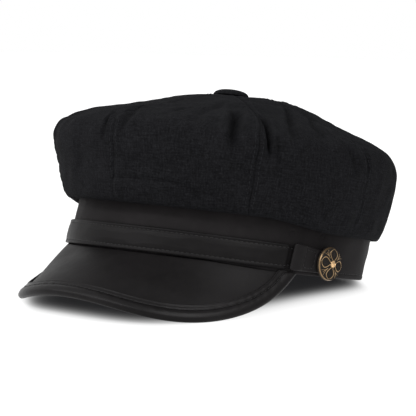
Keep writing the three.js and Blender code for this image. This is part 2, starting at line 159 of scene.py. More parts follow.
FOLD_RIDGE = 0.3

# Peak and binding
PEAK_LEATHER = 2.2 * MM
PEAK_HORN_ANGLE = -20.7
PEAK_SEAM_ANGLE = -25.6
PEAK_SEAM_HEIGHT = 0.4 * MM
PEAK_REACH = 101.6 * MM
PEAK_SQUARENESS = 2.16
PEAK_DROP = 27.6 * MM
PEAK_SIDE_DROP = 6.6 * MM
PEAK_HORN_HEIGHT = -1.9 * MM
PEAK_HORN_POWER = 7.9
PEAK_BOW = 1.4 * MM
PEAK_SPREAD = 0.75
PEAK_CROWDING = 1.6
PEAK_STATIONS = 260
BINDING_LEG = 9.2 * MM
BINDING_SEAM = 5.9 * MM
BINDING_WALL = 1.1 * MM
BINDING_FORM = ((-0.35, BINDING_SEAM / MM, 0.45), (0.3, 3.6, 1.2))
BINDING_BEAD = ((0.4, 0.6, 0.5),)
BINDING_ROWS = 30
FOLD_ROWS = 15

# Thread of every stitch: rings along it, sides, and how far it stands out, as a share of its radius
THREAD_RINGS = 6
THREAD_SIDES = 6
THREAD_LIFT = 0.35
# Points along a line that stitches follow
WALK_STEPS = 900

# Rows of the mesh up a face and round an edge of each strip
BAND_ROWS = (60, 7)
STRAP_ROWS = (44, 5)
TAB_ROWS = (34, 9)

# Front strap
STRAP_WIDTH = 14.8 * MM
STRAP_WALL = 1.6 * MM
STRAP_FRONT = 9.5 * MM
STRAP_BACK = 8.4 * MM
STRAP_END = -22
STRAP_NECK = (-26.3, -25.5)
STRAP_COLUMNS = 260
STRAP_SEAM = 1.3 * MM
STRAP_FORM = ((-0.25, STRAP_SEAM / MM, 0.5),)

# Sections of the tab: degrees forward of the side, then millimetres: lower and upper edge, offset
# of the inner face from the head, and thickness
OVER_STRAP = 4.7
TAB_SECTIONS = (
    (24.5, 1.7, 15.8, OVER_STRAP + 0.5, 0.9),
    (24.0, 1.0, 16.6, OVER_STRAP, 2.0),
    (21.2, 0.9, 16.4, OVER_STRAP, 2.0),
    (19.6, 0.9, 16.2, OVER_STRAP - 0.7, 2.0),
    (17.6, 0.9, 15.7, 3.2, 2.0),
    (15.8, 0.9, 15.2, 2.8, 2.0),
    (11.0, 0.9, 13.9, 2.8, 2.0),
    (6.0, 1.4, 12.6, 2.8, 2.0),
    (3.0, 3.6, 10.4, 2.8, 2.0),
)
TAB_WALL = 2 * MM
# The sewn rectangle of a tab: its ends in degrees forward of the side, its distance from the edges,
# and its lower and upper thread as shares of the height
TAB_SEWN = (14.5, 19.2)
TAB_SEAM = 1.4 * MM
TAB_SHARES = (0.1, 0.9)
TAB_STITCH = (1.9 * MM, 0.7 * MM, 0.34 * MM)

# Side buttons
BUTTON_RADIUS = 10 * MM
BUTTON_ANGLE = -8
BUTTON_HEIGHT = 6.9 * MM
BUTTON_SPIN = -9
# The rosette in millimetres from the middle: its rim, its boss, the dome's height in the middle and
# at the edge, and where petals, leaves, darts and barbs start and end
BUTTON_RIM = 9.65
BOSS_RADIUS = 2.5
DOME_HEIGHTS = (3.4, 2.1)
PETALS = 4
PETAL_ENDS = (1.4, 9.0)
LEAF_ENDS = (2.9, 8.0)
DART_ENDS = (4.6, 8.6)
BARB_ENDS = (5.6, 8.9)

# Top button
TOP_RADIUS = 11 * MM
TOP_DOME = 4.4 * MM
TOP_EDGE = 0.5 * MM
TOP_FULLNESS = 0.8
TOP_SIDES = 120

# Camera: where it stands, and how it looks back along its view
CAMERA_AZIMUTH = 38.43
CAMERA_ELEVATION = 6.25
CAMERA_ROLL = 0.60
CAMERA_TARGET = (-7.73 * MM, 10.63 * MM, 50.55 * MM)
CAMERA_DISTANCE = 1.030
CAMERA_LENS = 140.75
CAMERA_SENSOR = 36

# Lights: place, width and height in metres, the setting that gives the power and the share of it,
# and whether they light dull surfaces too
LIGHTS = (
    ("key_light", (-0.05, -1.25, 1.45), (1.3, 0.35), "key_power", 1.0, True),
    ("strip_light", (-0.75, -1.1, 0.9), (1.4, 0.4), "satin_power", 1.0, False),
    ("sky_light", (1.05, -0.3, 1.15), (0.8, 0.8), "satin_power", 2.1, False),
)
LIT_POINT = (0, 0, 0.06)

# The painted shadow under the cap, where the floor's painted glow fades out: its middle and half size
# along x, y and x + y, with the power that squares its corners, how it leans aside behind the middle,
# and how soft its edge is
DARK_LIMITS = ((-9 * MM, 75.5 * MM, 4), (14 * MM, 138 * MM, 8), (-6.5 * MM, 155.5 * MM, 32))
DARK_LEAN = 0.08
DARK_SOFTNESS = 0.45
DARK_REACH = 10.0
DARK_GLOW = (0.014, 0.014, 0.015, 1)
WHITE = (1, 1, 1, 1)


def lerp(start, end, share):
    """From start at share 0 to end at share 1."""
    return start + (end - start) * share


def smoothstep(value, low, high):
    """0 below low, 1 above high, with a smooth S between."""
    share = np.clip((value - low) / (high - low), 0, 1)
    return share * share * (3 - 2 * share)


def bell(distance, width):
    """1 at distance 0, near 0 from twice the width on: e to minus the square of their ratio."""
    return np.exp(-((distance / width) ** 2))


def bells(distance, form):
    """Sum of bells across a line: each row is a height, its distance and a half width, in mm."""
    return sum(height * MM * bell(distance - place * MM, width * MM) for height, place, width in form)


def within(share, low, high, margin):
    """1 between low and high, with a smooth fade over the margin on both sides of each."""
    rise = smoothstep(share, low - margin, low + margin)
    return rise * (1 - smoothstep(share, high - margin, high + margin))


def apart(a, b):
    """Degrees from one direction round the head to another, from 0 to 180."""
    return np.abs((a - b + 180) % 360 - 180)


def waves(points, size, count, seed):
    """A smooth random field between about -1 and 1: a sum of sines along random directions."""
    chance = np.random.default_rng(seed)
    directions = chance.normal(size=(count, 3))
    directions /= np.linalg.norm(directions, axis=1)[:, None]
    pitches = size * chance.uniform(0.7, 1.5, count)
    phases = chance.uniform(0, 2 * np.pi, count)
    turns = points @ (directions * (2 * np.pi / pitches)[:, None]).T
    return np.sin(turns + phases).sum(axis=-1) * math.sqrt(2 / count)


def smooth_path(rows, steps):
    """Points at even steps of its length along a centripetal Catmull-Rom curve through the rows."""
    rows = np.asarray(rows, float)
    path = np.vstack([2 * rows[0] - rows[1], rows, 2 * rows[-1] - rows[-2]])
    gaps = np.sqrt(np.linalg.norm(np.diff(path, axis=0), axis=1))[:, None]
    before, here, after = gaps[:-2], gaps[1:-1], gaps[2:]
    a, b, c, d = path[:-3], path[1:-2], path[2:-1], path[3:]
    leave = here * ((b - a) / before - (c - a) / (before + here) + (c - b) / here)
    reach = here * ((c - b) / here - (d - b) / (here + after) + (d - c) / after)
    t = np.linspace(0, 1, 200, endpoint=False)[None, :, None]
    b, c, leave, reach = (part[:, None] for part in (b, c, leave, reach))
    square, cube = 3 * (c - b) - 2 * leave - reach, 2 * (b - c) + leave + reach
    curve = b + leave * t + square * t**2 + cube * t**3
    curve = np.vstack([curve.reshape(-1, rows.shape[1]), rows[-1]])
    length = np.concatenate([[0], np.cumsum(np.linalg.norm(np.diff(curve, axis=0), axis=1))])
    even = np.linspace(0, length[-1], steps)
    return np.stack([np.interp(even, length, column) for column in curve.T], axis=-1), length[-1]


# Semi-axes of the head opening, from its girth by Ramanujan's formula
HALF_WIDTH = HEAD_GIRTH / (
    math.pi * (3 * (1 + HEAD_RATIO) - math.sqrt((3 + HEAD_RATIO) * (1 + 3 * HEAD_RATIO)))
)
HALF_LENGTH = HALF_WIDTH * HEAD_RATIO
SEAT_WIDTH = HALF_WIDTH + ON_BAND
SQUASH = math.sqrt((HALF_LENGTH + ON_BAND) / SEAT_WIDTH)

# Sections of the crown in millimetres: mean radius, height, and shift of the centre to the back
CROWN_SECTIONS = (
    (SEAT_WIDTH * SQUASH / MM, HEM_HEIGHT / MM, BAND_LEAN * HEM_HEIGHT / MM),
    (99.0, 28.3, 3.4),
    (102.9, 35.0, 2.2),
    (106.8, 50.0, 2.0),
    (108.9, 65.0, -1.2),
    (106.1, 74.5, -2.6),
    (95.0, 82.3, -1.5),
    (64.5, 93.0, -1.0),
    (37.0, 102.6, -2.5),
    (14.0, 104.1, -3.5),
    (0.0, 104.3, -3.7),
)
CROWN_PROFILE, CROWN_LENGTH = smooth_path(np.array(CROWN_SECTIONS) * MM, 2000)
PROFILE_SHARES = np.linspace(0, 1, len(CROWN_PROFILE))


def ring_point(angle, height, offset):
    """Points beside the band: an ellipse that leans back with height, at an offset outside it."""
    a = np.radians(angle)
    x = (HALF_WIDTH + offset) * np.cos(a)
    y = (HALF_LENGTH + offset) * np.sin(a) + BAND_LEAN * height
    return np.stack(np.broadcast_arrays(x, y, height), axis=-1)


def outward(angle):
    """Unit directions straight out from the band's ellipse."""
    a = np.radians(angle)
    out = np.stack([HALF_LENGTH * np.cos(a), HALF_WIDTH * np.sin(a), 0 * a], axis=-1)
    return out / np.linalg.norm(out, axis=-1, keepdims=True)


# The rim mount is on the flat lower edge at the back, which gives the tilt and the shift at rest
RIM = next(mount for mount in frame["record"]["mounts"] if mount["name"] == "rim")
TILT = math.atan2(-RIM["axis"][1], -RIM["axis"][2])
TIP = np.array([
    [1, 0, 0],
    [0, math.cos(TILT), -math.sin(TILT)],
    [0, math.sin(TILT), math.cos(TILT)],
])
RIM_ENDS = ring_point(np.array(RIM_FACET), -BAND_BELOW, BAND_WALL / 2)
SHIFT = np.array(RIM["pos_m"]) - lerp(*RIM_ENDS, RIM_SHARE) @ TIP


def at_rest(points):
    """Level points as they lie: tipped back about X, then set down on the surface."""
    return points @ TIP + SHIFT


def hem_height(angle):
    """Height of the crown's lower edge: high over the front, lower over the sides and the back."""
    return lerp(HEM_FRONT, HEM_SIDE, smoothstep(apart(angle, -90), *HEM_STEP))


def clear_of_button(radius):
    """0 under the top button, where the cloth lies flat, growing to 1 outside it."""
    return smoothstep(radius, TOP_RADIUS, 3 * TOP_RADIUS)


def smooth_crown(angle, share):
    """The crown without its folds: the profile at a share of its length, turned round the head.

    Its rings are ovals outside ROUND_RADIUS and circles inside it. The hem's step in height fades
    out up to HEM_BLEND, and the top rises a little behind the button.
    """
    radius, height, shift = (np.interp(share, PROFILE_SHARES, column) for column in CROWN_PROFILE.T)
    squash = 1 + (SQUASH - 1) * np.minimum(radius / ROUND_RADIUS, 1)
    drop = (hem_height(angle) - HEM_HEIGHT) * (1 - smoothstep(height, HEM_HEIGHT, HEM_BLEND))
    a = np.radians(angle)
    rise = CREST_RISE * np.sin(a) * bell(radius - CREST_RADIUS, CREST_WIDTH) * clear_of_button(radius)
    x = radius / squash * np.cos(a)
    y = radius * squash * np.sin(a) + shift + BAND_LEAN * drop
    return np.stack(np.broadcast_arrays(x, y, height + drop + rise), axis=-1), radius


def crown_normal(angle, share):
    """Outward normals of the smooth crown, from the cross product of its two small steps."""
    across = smooth_crown(angle + 0.3, share)[0] - smooth_crown(angle - 0.3, share)[0]
    up = smooth_crown(angle, share + 0.003)[0] - smooth_crown(angle, share - 0.003)[0]
    normal = np.cross(across, up)
    return normal / np.maximum(np.linalg.norm(normal, axis=-1, keepdims=True), 1e-12)


def seam_distance(column, radius):
    """How far each place is from the nearest seam, along its ring, and that seam's depth."""
    angles = np.stack([apart(column, seam) for seam in SEAM_ANGLES])
    return np.radians(angles.min(axis=0)) * radius, np.array(SEAM_DEPTHS)[angles.argmin(axis=0)]


def bent(column, share):
    """True angles of the crown's columns: the two seams in front wander aside as they rise."""
    for seam, drift in SEAM_DRIFTS.items():
        places, degrees = smooth_path(drift, 200)[0].T
        column = column + np.interp(share, places, degrees) * bell(apart(column, seam), DRIFT_REACH)
    return column


def crown_folds():
    """All folds as dictionaries, the plain gathers on both sides of the hidden seams included."""
    beside, low, high, lean, depth, width = GATHER
    gathers = [
        (seam + side * beside, low, high, -side * lean, depth, width)
        for seam in GATHERED_SEAMS
        for side in (-1, 1)
    ]
    return [dict(zip(FOLD_COLUMNS, row)) for row in (*FOLDS, *gathers)]


def fold_depths(angle, share, radius):
    """Depth of the folds' valleys and height of the ridges beside them, in metres."""
    spread = np.radians(1) * radius / MM
    valleys = ridges = 0
    for fold in crown_folds():
        climb = np.clip((share - fold["low"]) / (fold["high"] - fold["low"]), 0, 1.2)
        lean = fold["lean"] * climb**2
        distance = apart(angle, fold["angle"] + lean) * spread
        run = fold["depth"] * MM * within(share, fold["low"], fold["high"], FOLD_FADE)
        valleys = valleys + run * bell(distance, fold["width"])
        ridges = ridges + FOLD_RIDGE * run * bell(distance - 2 * fold["width"], fold["width"])
    return valleys, ridges


def hem_crease(angle, share):
    """The crease that runs over the turned hem: the distance above it, and how sharp it is here.

    It starts at the seam in front, runs level, then sinks towards the hem and fades.
    """
    place = lerp(*CREASE_PLACES, smoothstep(angle, *CREASE_SINK))
    sharp = smoothstep(angle, *CREASE_START) * (1 - smoothstep(angle, *CREASE_END))
    return (share - place) * CROWN_LENGTH, sharp


def crown_relief(column, angle, share, radius, points, settings):
    """How far the cloth lies outside its smooth form.

    Each seam is a valley between two low ridges that its topstitching puckers. Each fold is a
    valley with a ridge beside it. A crease runs over the hem, and the rest waves a little.
    """
    away, deep = seam_distance(column, radius)
    relief = deep * bells(away, SEAM_FORM)
    turns = share * CROWN_LENGTH / settings.pucker_pitch * 2 * np.pi
    ripples = np.sin(turns + 3 * waves(points, 60 * MM, 5, 4))
    ripples = ripples * bell(away - PUCKER_PLACE, PUCKER_WIDTH)
    relief = relief + settings.pucker_depth * ripples
    valleys, ridges = fold_depths(angle, share, radius)
    relief = relief + settings.fold_strength * (ridges - valleys)
    above, sharp = hem_crease(angle, share)
    relief = relief - lerp(0.4, 0.9, sharp) * MM * bell(above, lerp(2.8, 1.5, sharp) * MM)
    relief = relief + sharp * bells(above, CREASE_FORM)
    uneven = waves(points, 26 * MM, 14, 7) + 0.5 * waves(points, 11 * MM, 14, 8)
    relief = relief + settings.cloth_waves * uneven
    return relief * smoothstep(share, *RELIEF_START) * clear_of_button(radius)


def crown_surface(column, share, depth, settings):
    """Points of the crown at a depth under its face: smooth form plus relief along the normal.

    At the hem the wall is plumb, so that its edge stands flat against the band.
    """
    column, share = np.broadcast_arrays(column, share)
    angle = bent(column, share)
    smooth, radius = smooth_crown(angle, share)
    relief = crown_relief(column, angle, share, radius, smooth, settings) - depth
    points = smooth + crown_normal(angle, share) * relief[..., None]
    hem = ring_point(angle, smooth[..., 2] + depth, ON_BAND)
    pole = smooth - np.broadcast_to(depth, share.shape)[..., None] * np.array([0, 0, 1.0])
    points = np.where((share <= 0)[..., None], hem, points)
    return np.where((share >= 1)[..., None], pole, points)


def panel_columns():
    """Angles of the crown's columns, crowded towards each seam, and the middle of each panel."""
    share = np.arange(PANEL_COLUMNS) / PANEL_COLUMNS
    share = share - SEAM_CROWDING * np.sin(2 * np.pi * share) / (2 * np.pi)
    starts = np.array(SEAM_ANGLES, float)
    ends = np.append(starts[1:], starts[0] + 360)
    angles = lerp(starts[:, None], ends[:, None], share[None, :]).ravel()
    return angles, np.repeat((starts + ends) / 2, PANEL_COLUMNS)


def peak_edge(turn):
    """Middle of the peak's edge: half a superellipse in plan, from horn to horn as turn goes -1 to 1.

    It hangs PEAK_DROP below the rim, more at its two corners, and climbs late to the horns.
    """
    horn = ring_point(np.array(PEAK_HORN_ANGLE), np.array(0.0), ON_BAND)
    a = turn * np.pi / 2
    climb = np.abs(turn) ** PEAK_HORN_POWER
    low = PEAK_DROP + PEAK_SIDE_DROP * np.sin(2 * a) ** 2
    x = horn[0] * np.sign(turn) * np.abs(np.sin(a)) ** (2 / PEAK_SQUARENESS)
    y = horn[1] - PEAK_REACH * np.abs(np.cos(a)) ** (2 / PEAK_SQUARENESS)
    return np.stack([x, y, PEAK_HORN_HEIGHT * climb - low * (1 - climb)], axis=-1)


def peak_seam(turn, lift):
    """Where the peak's ruling for a turn starts on the band, at a lift off the leather's middle."""
    even = PEAK_SPREAD * turn + (1 - PEAK_SPREAD) * turn**3
    height = lerp(PEAK_SEAM_HEIGHT, PEAK_HORN_HEIGHT, smoothstep(np.abs(turn), 0.6, 1))
    return ring_point(-90 + (90 + PEAK_SEAM_ANGLE) * even, height + lift, ON_BAND)


def peak_reach(turn):
    """Length of the peak's ruling from the band to its edge."""
    return np.linalg.norm(peak_edge(turn) - peak_seam(turn, 0), axis=-1)


def peak_point(turn, share, lift):
    """Points of the peak on straight rulings from the band to its edge, bowed up in the middle."""
    edge = peak_edge(turn)
    tangent = peak_edge(np.minimum(turn + 0.002, 1)) - peak_edge(np.maximum(turn - 0.002, -1))
    normal = np.cross(edge - peak_seam(turn, 0), tangent)
    normal /= np.linalg.norm(normal, axis=-1, keepdims=True)
    tip = edge + normal * lift[..., None]
    points = lerp(peak_seam(turn, lift), tip, share[..., None])
    points[..., 2] += PEAK_BOW * 4 * share * (1 - share) * (1 - turn**2)
    return points


def peak_turns(count):
    """Stations along the peak's outline, closer together towards the horns."""
    even = np.linspace(-1, 1, count)
    return np.sign(even) * (1 - (1 - np.abs(even)) ** PEAK_CROWDING)


def strip_section(face_rows, arc_rows):
    """A strip's section with round edges, as the turn of its rounding and its share of the height.

    It goes up the outer face, over the top edge, down the inner face and round the lower edge.
    """
    face = np.linspace(0, 1, face_rows)
    arc = np.linspace(0, np.pi, arc_rows + 2)[1:-1]
    turn = np.concatenate([0 * face, arc, 0 * face + np.pi, arc + np.pi])
    share = np.concatenate([face, 0 * arc + 1, face[::-1], 0 * arc])
    return turn[:, None], share[:, None]


def grid_faces(rows, columns, around=False, across=False):
    """Corner numbers of the quads of a grid of points, row after row.

    around joins the last column to the first, and across the last row to the first.
    """
    row = np.arange(rows if across else rows - 1)[:, None]
    column = np.arange(columns if around else columns - 1)[None, :]
    below, above = row * columns, (row + 1) % rows * columns
    here, there = column, (column + 1) % columns
    corners = np.broadcast_arrays(below + here, below + there, above + there, above + here)
    return np.stack(corners, axis=-1).reshape(-1, 4)


def strip_faces(rows, columns):
    """Quads of a strip whose section is closed, with both ends filled between its two halves."""
    i = np.arange(rows // 2 - 1)
    end = np.stack([i, i + 1, rows - 2 - i, rows - 1 - i], axis=-1) * columns
    return np.concatenate([grid_faces(rows, columns, across=True), end, end[:, ::-1] + columns - 1])


def new_piece(name, points, faces, material, weave=None, values=None):
    """A smooth mesh object at rest, with its weave map and point values, and doubles welded."""
    points = at_rest(points.reshape(-1, 3))
    mesh = bpy.data.meshes.new(name)
    mesh.vertices.add(len(points))
    mesh.vertices.foreach_set("co", points.astype(np.float32).ravel())
    mesh.loops.add(faces.size)
    mesh.loops.foreach_set("vertex_index", faces.astype(np.int32).ravel())
    mesh.polygons.add(len(faces))
    mesh.polygons.foreach_set("loop_start", np.arange(0, faces.size, 4, dtype=np.int32))
    if weave is not None:
        mesh.uv_layers.new(name="weave").data.foreach_set("uv", weave.astype(np.float32).ravel())
    for label, array in (values or {}).items():
        attribute = mesh.attributes.new(label, "FLOAT", "POINT")
        attribute.data.foreach_set("value", array.astype(np.float32).ravel())
    mesh.update(calc_edges=True)
    solid = bmesh.new()
    solid.from_mesh(mesh)
    bmesh.ops.remove_doubles(solid, verts=solid.verts, dist=0.001 * MM)
    solid.to_mesh(mesh)
    solid.free()
    mesh.shade_smooth()
    mesh.materials.append(material)
    piece = bpy.data.objects.new(name, mesh)
    bpy.context.scene.collection.objects.link(piece)
    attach(piece, "root")
    return piece


def stitches(path, out, length, gap, thickness):
    """Threads laid in a dashed line on a path: small closed spindles that bend with it.

    Each stitch is a row of rings. Their radius is half the thread times the square root of 1 minus
    the fourth power of the distance from the stitch's middle, as a share of half its length. Their
    centres stand off the path by THREAD_LIFT of that radius.
    """
    run = np.concatenate([[0], np.cumsum(np.linalg.norm(np.diff(path, axis=0), axis=1))])
    count = max(int(run[-1] // (length + gap)), 1)
    share = np.linspace(0, 1, THREAD_RINGS)
    places = (np.arange(count) * (run[-1] / count) + gap / 2)[:, None] + share * length
    centre, normal = (
        np.stack([np.interp(places, run, column) for column in columns.T], axis=-1)
        for columns in (path, out)
    )
    normal /= np.linalg.norm(normal, axis=-1, keepdims=True)
    along = centre[:, -1:] - centre[:, :1]
    along /= np.linalg.norm(along, axis=-1, keepdims=True)
    side = np.cross(normal, along)
    radius = thickness / 2 * np.sqrt(1 - (2 * share - 1) ** 4)
    centre = centre + normal * (radius * THREAD_LIFT)[:, None]
    turn = np.arange(THREAD_SIDES)[:, None] * 2 * np.pi / THREAD_SIDES
    ring = np.cos(turn) * side[:, :, None] + np.sin(turn) * normal[:, :, None]
    points = centre[:, :, None] + ring * radius[:, None, None]
    faces = grid_faces(THREAD_RINGS, THREAD_SIDES, around=True)
    starts = np.arange(count)[:, None, None] * THREAD_RINGS * THREAD_SIDES
    return points.reshape(-1, 3), (faces + starts).reshape(-1, 4)


def leather_stitch(settings):
    """Length, gap and thread of the stitches on the leather."""
    return settings.stitch_length, settings.stitch_gap, settings.thread_thickness


def joined(parts):
    """Several (points, faces) as one."""
    sizes = np.cumsum([0] + [len(points) for points, _ in parts[:-1]])
    faces = [faces + size for (_, faces), size in zip(parts, sizes)]
    return np.concatenate([points for points, _ in parts]), np.concatenate(faces)


class Term:
    """A shader socket in an expression: each operator adds the Math node that works it out."""

    def __init__(self, paint, socket):
        self.paint = paint
        self.socket = socket

    def maths(self, operation, *values):
        """The output of a new Math node with these values or sockets."""
        return self.paint.node("ShaderNodeMath", {"operation": operation}, dict(enumerate(values)))

    def __add__(self, other):
        return self.maths("ADD", self, other)

    def __radd__(self, other):
        return self.maths("ADD", other, self)

    def __sub__(self, other):
        return self.maths("SUBTRACT", self, other)

    def __rsub__(self, other):
        return self.maths("SUBTRACT", other, self)

    def __mul__(self, other):
        return self.maths("MULTIPLY", self, other)

    def __rmul__(self, other):
        return self.maths("MULTIPLY", other, self)

    def __truediv__(self, other):
        return self.maths("DIVIDE", self, other)

    def __pow__(self, other):
        return self.maths("POWER", self, other)


class Paint:
    """The node tree of a new material or world."""

    def __init__(self, owner):
        self.owner = owner
        owner.use_nodes = True
        self.tree = owner.node_tree
        self.tree.nodes.clear()

    def node(self, kind, settings=None, inputs=None, output=0):
        """Adds a node, sets its settings, then the values or links of its sockets."""
        node = self.tree.nodes.new(kind)
        for name, value in (settings or {}).items():
            if name == "stops":
                self.set_stops(node.color_ramp, value)
            else:
                setattr(node, name, value)
        for name, value in (inputs or {}).items():
            if isinstance(value, Term):
                self.tree.links.new(value.socket, node.inputs[name])
            else:
                node.inputs[name].default_value = value
        return Term(self, node.outputs[output]) if node.outputs else None

    @staticmethod
    def set_stops(ramp, stops):
        """Gives a ramp its stops, each a place and a grey value."""
        while len(ramp.elements) < len(stops):
            ramp.elements.new(1)
        for element, (place, grey) in zip(ramp.elements, stops):
            element.position = place
            element.color = (grey, grey, grey, 1)

    def split(self, vector):
        """X, Y and Z of a vector."""
        first = self.node("ShaderNodeSeparateXYZ", None, {"Vector": vector})
        return [Term(self, socket) for socket in first.socket.node.outputs]

    def place(self):
        """Object coordinates in metres, which are the whole cap's, as each piece is at the origin."""
        return self.node("ShaderNodeTexCoord", output="Object")

    def value(self, name):
        """A point value of the piece."""
        return self.node("ShaderNodeAttribute", {"attribute_name": name}, output="Fac")

    def noise(self, at, size, detail=2, roughness=0.5, distortion=0):
        """Noise between 0 and 1 with features of about that size."""
        inputs = {"Vector": at, "Scale": 1 / size, "Detail": detail, "Roughness": roughness}
        inputs["Distortion"] = distortion
        return self.node("ShaderNodeTexNoise", None, inputs, "Fac")

    def cells(self, at, size):
        """Distance to the edges of small cells."""
        inputs = {"Vector": at, "Scale": 1 / size}
        return self.node("ShaderNodeTexVoronoi", {"feature": "DISTANCE_TO_EDGE"}, inputs, "Distance")

    def ramp(self, value, *stops):
        """A value passed through a ramp of grey stops."""
        return self.node("ShaderNodeValToRGB", {"stops": stops}, {"Fac": value})

    def clamp(self, value):
        """A value kept between 0 and 1."""
        return self.node("ShaderNodeClamp", None, {"Value": value})

    def mixed(self, share, first, second):
        """From the first colour at share 0 to the second at 1."""
        settings = {"data_type": "RGBA", "clamp_factor": True}
        return self.node("ShaderNodeMix", settings, {0: share, 6: first, 7: second}, 2)

    def bump(self, height, depth, strength=1.0, below=None):
        """A normal bent by a height between 0 and 1 that stands for that depth in metres."""
        inputs = {"Height": height, "Distance": depth, "Strength": strength}
        if below is not None:
            inputs["Normal"] = below
        return self.node("ShaderNodeBump", None, inputs)

    def surface(self, **inputs):
        """Ends the material in a Principled surface. Underscores in names stand for spaces."""
        inputs = {name.replace("_", " "): value for name, value in inputs.items()}
        shader = self.node("ShaderNodeBsdfPrincipled", None, inputs)
        self.node("ShaderNodeOutputMaterial", None, {"Surface": shader})
        return self.owner


def new_paint(name):
    """The empty node tree of a new material."""
    return Paint(bpy.data.materials.new(name))


def shade(colour, factor=1.0):
    """A colour made darker or lighter, with its alpha."""
    return (*(channel * factor for channel in colour[:3]), 1.0)


def twill_paint(settings):
    """Black cotton twill: fine diagonal ribs broken by the cross thread, slubs, and lint on ridges."""
    paint = new_paint("black_twill")
    weave = paint.node("ShaderNodeUVMap", {"uv_map": "weave"})
    across, up, _ = paint.split(weave)
    turns = 2 * math.pi / settings.twill_pitch
    ribs = up.maths("SINE", (0.8 * across + up) * turns)
    threads = up.maths("SINE", (across - 0.35 * up) * (0.9 * turns))
    stretch_up = paint.node("ShaderNodeMapping", None, {"Vector": weave, "Scale": (1, 0.16, 1)})
    stretch_across = paint.node("ShaderNodeMapping", None, {"Vector": weave, "Scale": (0.12, 1, 1)})
    slubs = paint.noise(stretch_up, 1.0 * MM, 3, 0.7) + paint.noise(stretch_across, 0.9 * MM, 3, 0.7)
    cloud = paint.noise(paint.place(), 22 * MM, 3, 0.6)
    lint = paint.ramp(paint.noise(paint.place(), 1.0 * MM, 3, 0.75), (0.50, 0.0), (0.70, 1.0))
    height = 0.25 * ribs + 0.1 * threads + 0.8 * slubs
    light = paint.clamp(1.3 * (slubs - 0.78) + 0.35 * (cloud - 0.5) + 0.15 * ribs + 0.6 * lint)
    # Painted shade: the seam value lays a dark dotted line along each seam, and the fold value darkens
    # the folds' valleys, the hem crease and the hem's lower edge.
    seam = paint.value("seam") * (1.6 * paint.noise(paint.place(), 1.3 * MM, 1))
    colour = paint.mixed(light, shade(settings.cloth_colour, 0.45), shade(settings.cloth_colour, 1.9))
    deep = paint.clamp(0.75 * seam + 0.6 * paint.value("fold"))
    colour = paint.mixed(deep, colour, shade(settings.cloth_colour, 0.2))
    return paint.surface(
        Base_Color=colour,
        Roughness=paint.clamp(0.86 + 0.2 * (slubs - 1)),
        Normal=paint.bump(height, 0.5 * MM, 0.8),
        Specular_IOR_Level=0.02,
        Sheen_Weight=settings.sheen,
        Sheen_Roughness=0.45,
        Sheen_Tint=(0.75, 0.77, 0.85, 1),
    )


def leather_paint(name, settings, painted_lightness=1.0, matt=0.0):
    """Smooth black leather: pebbled grain, fine pores, soft creases and a little wear.

    A lightness factor makes this piece's copy of the leather lighter or darker: painted light and shade
    for how much light falls on the piece. The matt factor adds to its roughness and takes from its
    gloss.
    """
    paint = new_paint(name)
    place = paint.place()
    stray = paint.node("ShaderNodeTexNoise", None, {"Vector": place, "Scale": 1 / (4 * MM)}, "Color")
    inputs = {0: stray, 1: (0.6 * MM, 0.6 * MM, 0.6 * MM), 2: place}
    warped = paint.node("ShaderNodeVectorMath", {"operation": "MULTIPLY_ADD"}, inputs)
    grain = paint.ramp(paint.cells(warped, settings.grain_size), (0.0, 0.0), (0.22, 0.8), (0.6, 1.0))
    pores = paint.noise(place, 0.35 * MM, 2, 0.6)
    creases = paint.noise(place, 7 * MM, 4, 0.62, 0.4)
    cloud = paint.noise(place, 32 * MM, 3, 0.55)
    bump = paint.bump(creases, 0.4 * MM, 0.3)
    bump = paint.bump(0.5 * grain + 0.5 * pores, 0.05 * MM, 0.4, bump)
    light = paint.clamp(1.4 * (cloud - 0.5) + 0.8 * (creases - 0.5) + 0.45)
    # Painted light and shade: each piece's copy of the leather is made lighter or darker by its
    # lightness factor.
    dark, pale = (shade(settings.leather_colour, factor * painted_lightness) for factor in (0.7, 1.4))
    rough = settings.leather_roughness + matt
    rough = rough + 0.18 * (creases - 0.5) + 0.12 * (cloud - 0.5) - 0.05 * grain
    return paint.surface(
        Base_Color=paint.mixed(light, dark, pale),
        Roughness=paint.clamp(rough),
        Normal=bump,
        Specular_IOR_Level=settings.leather_gloss * (1 - 3 * matt),
    )


def thread_paint(name, colour, roughness=0.5, gloss=0.2):
    """Twisted polyester thread with a soft sheen."""
    paint = new_paint(name)
    place = paint.place()
    twist = paint.noise(place, 0.4 * MM, 1, 0.5)
    shine = paint.noise(place, 9 * MM, 2, 0.5)
    light = paint.clamp(0.6 * twist + 0.6 * shine - 0.1)
    return paint.surface(
        Base_Color=paint.mixed(light, shade(colour, 0.6), shade(colour, 1.5)),
        Roughness=paint.clamp(roughness + 0.3 * (twist - 0.5)),
        Normal=paint.bump(twist, 0.1 * MM, 0.5),
        Specular_IOR_Level=gloss,
    )


def brass_paint(settings):
    """Antique brass: bright on what stands up, darkened and dull in the recesses."""
    paint = new_paint("antique_brass_worn")
    place = paint.place()
    relief = paint.value("relief")
    stain = paint.noise(place, 2.2 * MM, 4, 0.65)
    speck = paint.noise(place, 0.5 * MM, 3, 0.6)
    blotch = 0.5 * (stain - 0.5)
    bright = paint.clamp(3.4 * (relief - 0.55) + blotch)
    colour = paint.mixed(bright, shade(settings.patina_colour), shade(settings.brass_colour))
    gleam = paint.clamp(4.0 * relief - 3.1 + blotch)
    colour = paint.mixed(gleam, colour, shade(settings.brass_colour, 2.6))
    return paint.surface(
        Base_Color=colour,
        Metallic=paint.clamp(0.1 + 0.9 * bright),
        Specular_IOR_Level=0.15,
        Roughness=paint.clamp(0.62 - 0.34 * bright + 0.2 * (speck - 0.5)),
        Normal=paint.bump(0.6 * speck + 0.4 * stain, 0.08 * MM, 0.4),
    )


